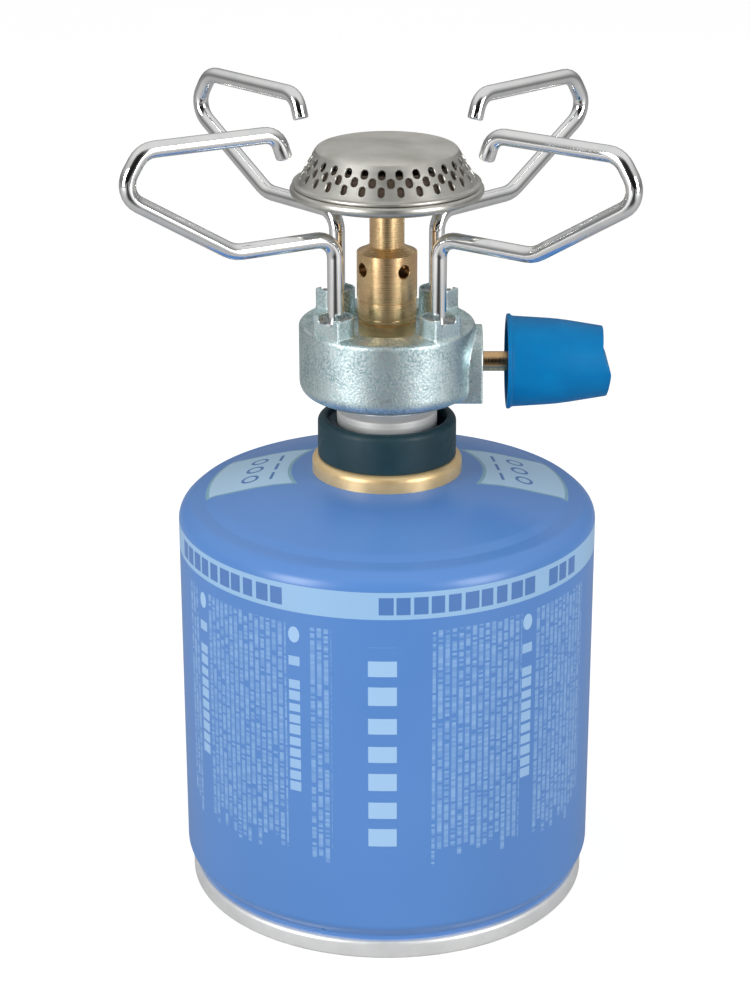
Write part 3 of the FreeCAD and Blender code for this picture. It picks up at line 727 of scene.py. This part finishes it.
def make_knob():
    """Hollow tapered knob with a lipped mouth, an inner hub and a scooped end."""
    low, high = span("control_knob")
    start, tip = low.x, high.x
    mid = (start + tip) / 2
    floor = tip - 3.4
    knob = lathe_x("knob_visual", [
        (start, 10.45),
        (start, KNOB_LIP_R, 0.3),
        (start + 0.9, KNOB_LIP_R, 0.3),
        (start + 1.3, 11.45, 0.3),
        (mid, 10.75, 60.0),
        (tip + 1.0, 8.5),
        (tip + 1.0, 0.0),
        (floor, 0.0),
        (floor, 7.6, 1.0),
        (mid, 9.45, 60.0),
    ], SEGMENTS)
    hub = bar_x(4.2, start + 5.0, floor + 0.5, z=SPINDLE_Z)
    combine(knob, [hub], "UNION")
    wave = rounded([
        (tip - 1.0, 16.0),
        (tip - 2.1, 4.2, 7.0),
        (tip + 0.1, -0.8, 3.5),
        (tip - 1.4, -16.0),
        (tip + 10.0, -16.0),
        (tip + 10.0, 16.0),
    ])
    scoop = loft([[(p.x, y, SPINDLE_Z + p.y) for p in wave] for y in (-20, 20)])
    spindle_hole = bar_x(SPINDLE_R, start, floor, z=SPINDLE_Z)
    combine(knob, [scoop, spindle_hole], "DIFFERENCE")
    soften(knob, KNOB_VOXEL, KNOB_ROUNDS)
    return knob


# ---------------------------------------------------------------- pan supports
def make_wire(place):
    """Bent support wire: stem, lower run, outer corner, flat top run and turned-down tip."""
    low, high = span("pan_support_" + place)
    stem = joint_place("support_" + place)
    middle = (low + high) / 2
    out = Vector((middle.x - stem.x, middle.y - stem.y, 0)).normalized()
    lower = low.z + 34.3
    upper = high.z - WIRE_R
    corners = [
        (0.0, low.z),
        (0.0, lower, 5.0),
        (27.2, lower, 8.0),
        (56.1, lower + 17.7, 5.5),
        (49.9, upper, 5.5),
        (15.4, upper, 4.5),
        (13.4, upper - 5.96),
    ]
    base = Vector((stem.x, stem.y, 0))
    path = [base + out * p.x + UP * p.y for p in rounded(corners, closed=False)]
    return swept("wire_" + place, path, out.cross(UP), WIRE_R, 0.5)




# ---------------------------------------------------------------- materials
MIX_ONE, MIX_OTHER, MIX_RESULT = 6, 7, 2    # the Mix node's colour sockets, by number


class Paint:
    """A material with its Principled shader, and short ways to add nodes to it."""

    def __init__(self, name, colour, metallic, roughness, **sockets):
        self.material = bpy.data.materials.new(name)
        self.material.use_nodes = True
        self.tree = self.material.node_tree
        self.shader = self.tree.nodes["Principled BSDF"]
        self.shader.inputs["Base Color"].default_value = (*colour, 1)
        self.shader.inputs["Metallic"].default_value = metallic
        self.shader.inputs["Roughness"].default_value = roughness
        for socket, value in sockets.items():
            self.shader.inputs[socket.replace("_", " ")].default_value = value
        self.coords = self.tree.nodes.new("ShaderNodeTexCoord").outputs["Object"]
        split = self.tree.nodes.new("ShaderNodeSeparateXYZ")
        self.tree.links.new(self.coords, split.inputs[0])
        self.x, self.y, self.z = split.outputs

    def put(self, value, socket):
        """Links an output to the socket, or sets a colour or a number on it."""
        if isinstance(value, bpy.types.NodeSocket):
            self.tree.links.new(value, socket)
        elif isinstance(value, tuple):
            socket.default_value = (*value, 1)
        else:
            socket.default_value = value

    def math(self, operation, *values):
        """Result of a Math node."""
        node = self.tree.nodes.new("ShaderNodeMath")
        node.operation = operation
        for value, socket in zip(values, node.inputs):
            self.put(value, socket)
        return node.outputs[0]

    def inside(self, value, low, high):
        """1 where value lies between low and high."""
        return self.math("MULTIPLY", self.math("GREATER_THAN", value, low),
                         self.math("LESS_THAN", value, high))

    def any_of(self, masks):
        """The strongest of the masks."""
        total = masks[0]
        for mask in masks[1:]:
            total = self.math("MAXIMUM", total, mask)
        return total

    def all_of(self, masks):
        """All masks multiplied together."""
        total = masks[0]
        for mask in masks[1:]:
            total = self.math("MULTIPLY", total, mask)
        return total

    def span(self, value, low, high, to_low=0.0, to_high=1.0):
        """Value mapped from low..high to to_low..to_high, and held at the ends."""
        node = self.tree.nodes.new("ShaderNodeMapRange")
        for item, socket in zip((value, low, high, to_low, to_high), node.inputs):
            self.put(item, socket)
        return node.outputs[0]

    def mix(self, factor, one, other):
        """Colour one where factor is 0, and the other where it is 1."""
        node = self.tree.nodes.new("ShaderNodeMix")
        node.data_type = "RGBA"
        self.put(factor, node.inputs["Factor"])
        self.put(one, node.inputs[MIX_ONE])
        self.put(other, node.inputs[MIX_OTHER])
        return node.outputs[MIX_RESULT]

    def noise(self, scale, detail=3.0, stretch=(1, 1, 1)):
        """Noise over the piece, at scale per metre."""
        mapping = self.tree.nodes.new("ShaderNodeMapping")
        mapping.inputs["Scale"].default_value = stretch
        self.tree.links.new(self.coords, mapping.inputs["Vector"])
        node = self.tree.nodes.new("ShaderNodeTexNoise")
        node.inputs["Scale"].default_value = scale
        node.inputs["Detail"].default_value = detail
        self.tree.links.new(mapping.outputs[0], node.inputs["Vector"])
        return node.outputs["Fac"]

    def lines(self, value, scale, detail=2.0):
        """Noise that changes only with value, such as lathe lines along an axis."""
        node = self.tree.nodes.new("ShaderNodeTexNoise")
        node.noise_dimensions = "1D"
        node.inputs["Scale"].default_value = scale
        node.inputs["Detail"].default_value = detail
        self.tree.links.new(value, node.inputs["W"])
        return node.outputs["Fac"]

    def cell(self, *values):
        """Random number of the whole-number cell that the values fall in."""
        combine_node = self.tree.nodes.new("ShaderNodeCombineXYZ")
        for value, socket in zip(values, combine_node.inputs):
            self.put(value, socket)
        node = self.tree.nodes.new("ShaderNodeTexWhiteNoise")
        self.tree.links.new(combine_node.outputs[0], node.inputs["Vector"])
        return node.outputs["Value"]

    def squares(self, one, other):
        """Sum of two squares."""
        return self.math("ADD", self.math("MULTIPLY", one, one),
                         self.math("MULTIPLY", other, other))

    def radius(self):
        """Distance from the stove's axis, in metres."""
        return self.math("SQRT", self.squares(self.x, self.y))

    def colour(self, value):
        """Sets the base colour."""
        self.put(value, self.shader.inputs["Base Color"])

    def rough(self, value):
        """Sets the roughness."""
        self.put(value, self.shader.inputs["Roughness"])

    def bump(self, height, strength, distance):
        """Adds relief, up to distance metres deep."""
        node = self.tree.nodes.new("ShaderNodeBump")
        node.inputs["Strength"].default_value = strength
        node.inputs["Distance"].default_value = distance
        self.put(height, node.inputs["Height"])
        self.tree.links.new(node.outputs[0], self.shader.inputs["Normal"])


CAN_BLUE = (0.095, 0.245, 0.590)
PALE_BLUE = (0.310, 0.520, 0.780)
PANEL_BLUE = (0.400, 0.600, 0.790)
PANEL_EDGE = (0.200, 0.400, 0.520)
BAND_INK = (0.085, 0.205, 0.50)
PALE_INK = (0.36, 0.57, 0.84)
SIGN_INK = (0.05, 0.17, 0.45)
CAN_RADIUS = turned_size("canister_body")[0]
WRAP = math.pi * CAN_RADIUS     # the label's print repeats after this length round the can

# the label's print: heights above the ground, and arcs round the can from its front
BAND = (94.3, 101.3)
BAND_WORDS = ((-68.0, -21.25), (-2.0, 57.5))
TEXT_COLUMNS = ((-63.0, -57.5), (-52.6, -25.5), (-19.4, -13.6), (11.1, 35.6), (40.2, 62.0))
TEXT_HEIGHTS = (27.0, 91.0)
TEXT_INK = 0.56
LINE_PITCH = 1.75
LETTER = 0.62
LETTER_GAPS = 0.16              # share of letters that are left blank
HEADINGS = ((-56.8, -53.4), (-24.8, -21.8), (35.8, 39.0))
HEADING_HEIGHTS = (46.0, 83.2)
HEADING_INK = 0.85
DOT_HEIGHT = 88.3               # middle of the oval above each heading
DOT_SIZE = (1.5, 2.1)
EMBLEM = ((-4.6, 2.4), (33.0, 87.0))

# the panels on the shoulder: azimuths from the front, and radii
PANEL_TURNS = (98.0, -99.0)
PANEL_RADII = (24.5, 46.5)
PANEL_HALF = 13.0
PANEL_RIM = 0.7
PANEL_END_RIM = 0.9
SIGN_PLACES = (-6.5, 0.0, 6.5)
SIGN_RADIUS = 34.5
SIGN_RING = (1.5, 2.3)
SIGN_BAR = ((-2.3, 2.3), (-6.2, -5.4))


def text_lines(p, arc, height):
    """Rows of small dashes along Z that stand for lines of print."""
    row = p.math("DIVIDE", arc, LINE_PITCH)
    index = p.math("FLOOR", row)
    stroke = p.inside(p.math("FRACT", row), 0.16, 0.80)
    shift = p.math("MULTIPLY", p.cell(index, 3.0), 9.0)
    along = p.math("ADD", height, shift)
    letters = p.cell(index, p.math("FLOOR", p.math("DIVIDE", along, LETTER)), 1.0)
    ink = p.span(letters, LETTER_GAPS, 1.0, 0.35, 1.0)
    gap = p.math("LESS_THAN", letters, LETTER_GAPS)
    lowest = TEXT_HEIGHTS[0]
    ragged = p.span(p.cell(index, 2.0), 0.0, 1.0, lowest, lowest + 7.0)
    above = p.math("GREATER_THAN", height, ragged)
    return p.all_of([stroke, ink, p.math("SUBTRACT", 1.0, gap), above])


def blocks(p, along, start, pitch, fill, gap_chance):
    """Row of plain blocks, from start on, that stands for large lettering."""
    cells = p.math("DIVIDE", p.math("SUBTRACT", along, start), pitch)
    index = p.math("FLOOR", cells)
    width = p.span(p.cell(index, 5.0), 0.0, 1.0, fill - 0.14, fill + 0.06)
    solid = p.math("LESS_THAN", p.math("FRACT", cells), width)
    return p.math("MULTIPLY", solid, p.math("GREATER_THAN", p.cell(index, 11.0), gap_chance))


def label_print(p):
    """Masks of the pale band, of the darker blocks in it, and of the pale print below it."""
    height = p.math("MULTIPLY", p.z, 1 / MM)
    turn = p.math("ARCTAN2", p.x, p.math("MULTIPLY", p.y, -1.0))
    whole = p.math("MULTIPLY", turn, CAN_RADIUS)
    half = WRAP / 2
    arc = p.math("WRAP", whole, half, -half)
    on_wall = p.math("LESS_THAN", height, BAND[1] + 1)
    band = p.inside(height, *BAND)
    word_rows = []
    for limits in BAND_WORDS:
        row = blocks(p, arc, limits[0], 4.25, 0.84, 0.08)
        word_rows.append(p.math("MULTIPLY", p.inside(arc, *limits), row))
    word_height = p.inside(height, BAND[0] + 1.2, BAND[1] - 1.3)
    words = p.math("MULTIPLY", word_height, p.any_of(word_rows))
    columns = p.any_of([p.inside(arc, *limits) for limits in TEXT_COLUMNS])
    small = p.all_of([columns, p.inside(height, *TEXT_HEIGHTS), text_lines(p, arc, height)])
    heads = p.any_of([p.inside(arc, *limits) for limits in HEADINGS])
    bold = p.all_of([heads, p.inside(height, *HEADING_HEIGHTS),
                     blocks(p, height, HEADING_HEIGHTS[0], 3.1, 0.80, 0.07)])
    dots = []
    for low, high in HEADINGS:
        across = p.math("DIVIDE", p.math("SUBTRACT", arc, (low + high) / 2), DOT_SIZE[0])
        up = p.math("DIVIDE", p.math("SUBTRACT", height, DOT_HEIGHT), DOT_SIZE[1])
        dots.append(p.inside(p.squares(across, up), 0.0, 1.0))
    arcs, heights = EMBLEM
    emblem = p.all_of([p.inside(arc, *arcs), p.inside(height, *heights),
                       blocks(p, height, heights[0], 7.71, 0.62, 0.0)])
    inks = [p.math("MULTIPLY", small, TEXT_INK), p.math("MULTIPLY", bold, HEADING_INK)]
    pale = p.math("MULTIPLY", on_wall, p.any_of([*inks, *dots, emblem]))
    return band, words, pale


def shoulder_panels(p):
    """Masks of the pale panels on the shoulder, their edges and their plain pictograms."""
    radius = p.math("MULTIPLY", p.radius(), 1 / MM)
    near, far = PANEL_RADII
    whole = p.inside(radius, near, far)
    inner = p.inside(radius, near + PANEL_END_RIM, far - PANEL_END_RIM)
    core_half = PANEL_HALF - PANEL_RIM
    fills, cores, signs = [], [], []
    for turn in PANEL_TURNS:
        a = math.radians(turn)
        out = Vector((math.sin(a), -math.cos(a)))
        along = p.math("ADD", p.math("MULTIPLY", p.x, out.x / MM),
                       p.math("MULTIPLY", p.y, out.y / MM))
        across = p.math("ADD", p.math("MULTIPLY", p.x, out.y / MM),
                        p.math("MULTIPLY", p.y, -out.x / MM))
        ahead = p.math("GREATER_THAN", along, 0.0)
        fills.append(p.all_of([p.inside(across, -PANEL_HALF, PANEL_HALF), ahead, whole]))
        cores.append(p.all_of([p.inside(across, -core_half, core_half), ahead, inner]))
        for sign_place in SIGN_PLACES:
            du = p.math("SUBTRACT", across, sign_place)
            dv = p.math("SUBTRACT", along, SIGN_RADIUS)
            reach = p.math("SQRT", p.squares(du, dv))
            signs.append(p.all_of([p.inside(reach, *SIGN_RING), ahead]))
            bar = p.math("MULTIPLY", p.inside(du, *SIGN_BAR[0]), p.inside(dv, *SIGN_BAR[1]))
            signs.append(p.math("MULTIPLY", bar, ahead))
    return p.any_of(fills), p.any_of(cores), p.any_of(signs)


def canister_paint():
    """Satin blue paint with the label's plain print and the two shoulder panels."""
    p = Paint("canister_paint", CAN_BLUE, 0.0, 0.3)
    on_top = p.math("GREATER_THAN", p.z, (BAND[1] + 1.5) * MM)
    band, words, pale = label_print(p)
    fill, core, signs = shoulder_panels(p)
    blue = p.mix(p.noise(35, 2), (0.090, 0.235, 0.575), (0.102, 0.255, 0.605))
    base = p.mix(band, blue, PALE_BLUE)
    base = p.mix(words, base, BAND_INK)
    base = p.mix(pale, base, PALE_INK)
    base = p.mix(p.math("MULTIPLY", fill, on_top), base, PANEL_EDGE)
    base = p.mix(p.math("MULTIPLY", core, on_top), base, PANEL_BLUE)
    base = p.mix(p.all_of([core, on_top, signs]), base, SIGN_INK)
    p.colour(base)
    p.rough(p.span(p.noise(40, 2), 0.0, 1.0, 0.24, 0.36))
    p.bump(p.noise(220, 1), 0.04, 0.0001)
    return p.material


def ringed_metal(name, dark, light, roughness, along, line_scale, strength=0.25, metallic=1.0):
    """Turned metal with lathe lines along the x or z axis, and slight stains."""
    p = Paint(name, light, metallic, roughness)
    lines = p.lines({"x": p.x, "z": p.z}[along], line_scale)
    stain = p.span(p.noise(140, 5), 0.35, 0.68)
    p.colour(p.mix(p.math("MULTIPLY", p.math("ADD", lines, stain), 0.5), dark, light))
    p.rough(p.span(lines, 0.3, 0.7, roughness - 0.07, roughness + 0.10))
    p.bump(lines, strength, 0.00008)
    return p.material


def zinc_casting():
    """Passivated casting: blotchy grey-blue with bright grains and a fine cast skin."""
    p = Paint("zinc_casting", (0.5, 0.6, 0.62), 1.0, 0.44)
    blotch = p.span(p.noise(170, 6), 0.38, 0.64)
    grain = p.span(p.noise(1700, 4), 0.40, 0.60)
    base = p.mix(blotch, (0.30, 0.43, 0.45), (0.56, 0.70, 0.72))
    p.colour(p.mix(p.math("MULTIPLY", grain, 0.62), base, (0.88, 0.95, 0.94)))
    p.rough(p.span(p.math("ADD", blotch, grain), 0.2, 1.8, 0.54, 0.36))
    skin = p.math("ADD", p.noise(1700, 4), p.math("MULTIPLY", p.noise(260, 3), 0.5))
    p.bump(skin, 0.45, 0.00018)
    return p.material


def gauze_steel():
    """Woven wire: fine bright crossings on a near-black ground."""
    p = Paint("gauze_steel", (0.1, 0.08, 0.07), 0.8, 0.5)
    turn = p.math("ARCTAN2", p.y, p.x)
    wires_round = 290.0
    wires_up = 15000.0      # radians per metre
    weft = p.math("SINE", p.math("MULTIPLY", turn, wires_round))
    warp = p.math("SINE", p.math("MULTIPLY", p.z, wires_up))
    weave = p.span(p.math("MULTIPLY", weft, warp), 0.1, 0.8)
    p.colour(p.mix(weave, (0.018, 0.013, 0.011), (0.34, 0.25, 0.19)))
    p.bump(weave, 0.6, 0.0001)
    return p.material


def burner_steel():
    """Pressed stainless steel with faint spinning rings, duller on the cap's flat top."""
    p = Paint("burner_steel", (0.55, 0.53, 0.50), 1.0, 0.34)
    lines = p.lines(p.radius(), 1800)
    haze = p.span(p.noise(90, 5), 0.35, 0.65)
    p.colour(p.mix(haze, (0.54, 0.53, 0.485), (0.68, 0.67, 0.625)))
    satin = p.span(p.math("ADD", lines, haze), 0.4, 1.5, 0.30, 0.42)
    top_edge = span("burner_cap")[1].z - 0.7
    flat_top = p.math("GREATER_THAN", p.z, top_edge * MM)
    duller = 0.28
    p.rough(p.math("ADD", satin, p.math("MULTIPLY", flat_top, duller)))
    p.bump(lines, 0.14, 0.00006)
    return p.material


def chromed_wire():
    """Bright chrome with a faint film that dulls it here and there."""
    p = Paint("chromed_wire", (0.90, 0.90, 0.89), 1.0, 0.07)
    film = p.noise(260, 4)
    p.colour(p.mix(p.span(film, 0.4, 0.75), (0.93, 0.93, 0.92), (0.84, 0.85, 0.86)))
    p.rough(p.span(film, 0.35, 0.7, 0.05, 0.12))
    p.bump(p.noise(420, 3), 0.05, 0.0001)
    return p.material


def moulded(name, dark, light, roughness, grain, **sockets):
    """Moulded plastic or rubber with a fine spark-eroded skin and slight shade changes."""
    p = Paint(name, light, 0.0, roughness, **sockets)
    p.colour(p.mix(p.span(p.noise(110, 4), 0.35, 0.65), dark, light))
    p.rough(p.span(p.noise(500, 3), 0.3, 0.7, roughness - 0.05, roughness + 0.07))
    p.bump(p.noise(grain, 3), 0.12, 0.00012)
    return p.material


def plated(name, dark, light, roughness, grain, metallic=1.0):
    """Sheet or pressed metal with a slight grain."""
    p = Paint(name, light, metallic, roughness)
    p.colour(p.mix(p.span(p.noise(120, 5), 0.35, 0.65), dark, light))
    p.rough(p.span(p.noise(grain, 4), 0.3, 0.7, roughness - 0.06, roughness + 0.08))
    p.bump(p.noise(grain, 3), 0.08, 0.00008)
    return p.material


MATERIALS = {
    "canister_paint": canister_paint(),
    "tinplate": plated("tinplate", (0.80, 0.80, 0.78), (0.88, 0.88, 0.86), 0.42, 600,
                       metallic=0.6),
    "gold_lacquer": plated("gold_lacquer", (0.74, 0.53, 0.26), (0.82, 0.61, 0.33), 0.36, 500,
                           metallic=0.55),
    "collar_plastic": moulded("collar_plastic", (0.008, 0.032, 0.044), (0.012, 0.043, 0.057),
                              0.50, 900, Specular_IOR_Level=0.35),
    "housing_plastic": moulded("housing_plastic", (0.62, 0.61, 0.57), (0.75, 0.74, 0.70),
                               0.45, 700),
    "rubber": moulded("rubber", (0.012, 0.012, 0.012), (0.025, 0.025, 0.025), 0.65, 1200),
    "spring_steel": plated("spring_steel", (0.36, 0.37, 0.38), (0.56, 0.57, 0.58), 0.30, 700),
    "turned_steel": ringed_metal("turned_steel", (0.80, 0.81, 0.80), (0.97, 0.97, 0.95), 0.45,
                                 "z", 2600, strength=0.12, metallic=0.6),
    "sintered_bronze": plated("sintered_bronze", (0.32, 0.20, 0.10), (0.58, 0.40, 0.22),
                              0.55, 3000),
    "zinc_casting": zinc_casting(),
    "brass": ringed_metal("brass", (0.76, 0.47, 0.26), (0.95, 0.73, 0.38), 0.30, "z", 5200),
    "brass_along_x": ringed_metal("brass_along_x", (0.66, 0.40, 0.20), (0.90, 0.62, 0.33), 0.24,
                                  "x", 5200, strength=0.1),
    "burner_steel": burner_steel(),
    "gauze_steel": gauze_steel(),
    "chromed_wire": chromed_wire(),
    "knob_plastic": moulded("knob_plastic", (0.0, 0.155, 0.400), (0.0, 0.185, 0.450),
                            0.42, 1100, Specular_IOR_Level=0.15),
}


# ---------------------------------------------------------------- placing
def finish(piece, material):
    """Gives a piece its material."""
    piece.data.materials.clear()
    piece.data.materials.append(MATERIALS[material])


def place(piece, body, slot, node, material=None):
    """Gives a piece its finish and its body, and hides the CAD node that it stands for."""
    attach(piece, body)
    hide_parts(node)
    finish(piece, material or slot)


place(make_can(), "canister", "canister_paint", "canister_body")
place(make_base(), "canister", "tinplate", "canister_base")
place(make_cup(), "canister", "gold_lacquer", "valve_cup")
place(make_collar(), "canister", "collar_plastic", "locking_collar")
place(make_neck(), "burner_head", "turned_steel", "bayonet_neck")
place(make_casting(), "burner_head", "zinc_casting", "valve_body")
place(make_gland(), "burner_head", "brass", "gland_bush", material="brass_along_x")
place(make_jet_holder(), "burner_head", "brass", "jet_holder")
place(make_mixer(), "burner_head", "brass", "mixer_body")
place(make_tube(), "burner_head", "brass", "burner_tube")
place(make_dish(), "burner_head", "burner_steel", "burner_dish")
place(make_cap(), "burner_head", "burner_steel", "burner_cap")
place(make_gauze(), "burner_head", "gauze_steel", "burner_gauze")
place(make_spindle(), "knob", "brass", "spindle", material="brass_along_x")
place(make_knob(), "knob", "knob_plastic", "control_knob")
for support in PLACES:
    place(make_star_washer(support), "burner_head", "spring_steel", "retaining_washer_" + support)
    place(make_wire(support), "support_" + support, "chromed_wire", "pan_support_" + support)

# the pieces inside keep their CAD shape and take the finish of their slot
SLOTS = {part["node"]: part["material_slot"] for part in frame["record"]["subparts"]}
for node, cad_piece in frame["nodes"].items():
    if not cad_piece.hide_render:
        finish(cad_piece, SLOTS[node])


# ---------------------------------------------------------------- studio
def make_floor():
    """White floor, darker in reflections, and darkest there in a zone before the stove."""
    half = 3000.0
    corners = [(-half, -half, 0), (half, -half, 0), (half, half, 0), (-half, half, 0)]
    floor = new_piece("floor", (corners, [(0, 1, 2, 3)]))
    p = Paint("floor", (0.5, 0.5, 0.5), 0.0, 0.9, Emission_Color=(1, 1, 1, 1))
    seen = p.tree.nodes.new("ShaderNodeLightPath").outputs["Is Camera Ray"]
    ahead = p.span(p.y, -0.30, -0.16, 1.0, 0.0)
    aside = p.span(p.math("ABSOLUTE", p.x), 0.10, 0.26, 1.0, 0.0)
    shade_zone = p.math("MULTIPLY", ahead, aside)
    reflected = p.mix(shade_zone, (0.46, 0.46, 0.46), (0.02, 0.02, 0.02))
    pale = p.mix(p.noise(3, 2), (0.59, 0.59, 0.59), (0.61, 0.61, 0.61))
    p.colour(p.mix(seen, reflected, pale))
    glow = 0.62
    p.put(p.math("MULTIPLY", seen, glow), p.shader.inputs["Emission Strength"])
    floor.data.materials.append(p.material)


def smooth_span(tree, value, low, high, to_low, to_high):
    """Value mapped from low..high to to_low..to_high along a smooth curve."""
    node = tree.nodes.new("ShaderNodeMapRange")
    node.interpolation_type = "SMOOTHSTEP"
    tree.links.new(value, node.inputs["Value"])
    for limit, socket in zip((low, high, to_low, to_high), node.inputs[1:5]):
        socket.default_value = limit
    return node.outputs["Result"]


def joined(tree, operation, one, other):
    """Result of a Math node on two outputs."""
    node = tree.nodes.new("ShaderNodeMath")
    node.operation = operation
    tree.links.new(one, node.inputs[0])
    tree.links.new(other, node.inputs[1])
    return node.outputs["Value"]


def make_world():
    """Studio that the camera sees white; in reflections it dims behind the camera and low down."""
    world = bpy.data.worlds.new("studio")
    world.use_nodes = True
    bpy.context.scene.world = world
    tree = world.node_tree
    coords = tree.nodes.new("ShaderNodeTexCoord").outputs["Generated"]
    split = tree.nodes.new("ShaderNodeSeparateXYZ")
    tree.links.new(coords, split.inputs[0])
    dot = tree.nodes.new("ShaderNodeVectorMath")
    dot.operation = "DOT_PRODUCT"
    dot.inputs[1].default_value = Vector((0, -1, 0.36)).normalized()
    tree.links.new(coords, dot.inputs[0])
    room = smooth_span(tree, dot.outputs["Value"], 0.70, 0.95, 1.0, 0.04)
    sky = smooth_span(tree, split.outputs["Z"], 0.05, 0.80, 0.20, 0.74)
    seen = tree.nodes.new("ShaderNodeLightPath").outputs["Is Camera Ray"]
    strength = joined(tree, "MAXIMUM", joined(tree, "MULTIPLY", room, sky), seen)
    background = tree.nodes["Background"].inputs
    background["Color"].default_value = (1, 1, 1, 1)
    tree.links.new(strength, background["Strength"])


SOFTBOX_SIZE = (0.36, 0.60)     # metres
SOFTBOX_AIM = (0, 0, 0.1)


def make_softbox(name, location, watts):
    """Tall softbox that faces the middle of the stove."""
    data = bpy.data.lights.new(name, "AREA")
    data.shape = "RECTANGLE"
    data.size, data.size_y = SOFTBOX_SIZE
    data.energy = watts
    light = bpy.data.objects.new(name, data)
    light.location = location
    sight = Vector(SOFTBOX_AIM) - Vector(location)
    light.rotation_euler = sight.to_track_quat("-Z", "Y").to_euler()
    bpy.context.scene.collection.objects.link(light)


def make_camera():
    """Camera in front of the stove and above it, looking 21 degrees down as in the photo."""
    data = bpy.data.cameras.new("camera")
    data.lens = 90.8
    data.shift_x = -0.012
    camera = bpy.data.objects.new("camera", data)
    camera.location = (0, -0.605, 0.339)
    camera.rotation_euler = (math.radians(68.8), 0, 0)
    bpy.context.scene.collection.objects.link(camera)
    bpy.context.scene.camera = camera


make_floor()
make_world()
make_softbox("softbox_left", (-0.66, -0.58, 0.34), 5.6)
make_softbox("softbox_right", (0.66, -0.58, 0.34), 4.8)
make_camera()
bpy.context.scene.view_settings.view_transform = "Standard"
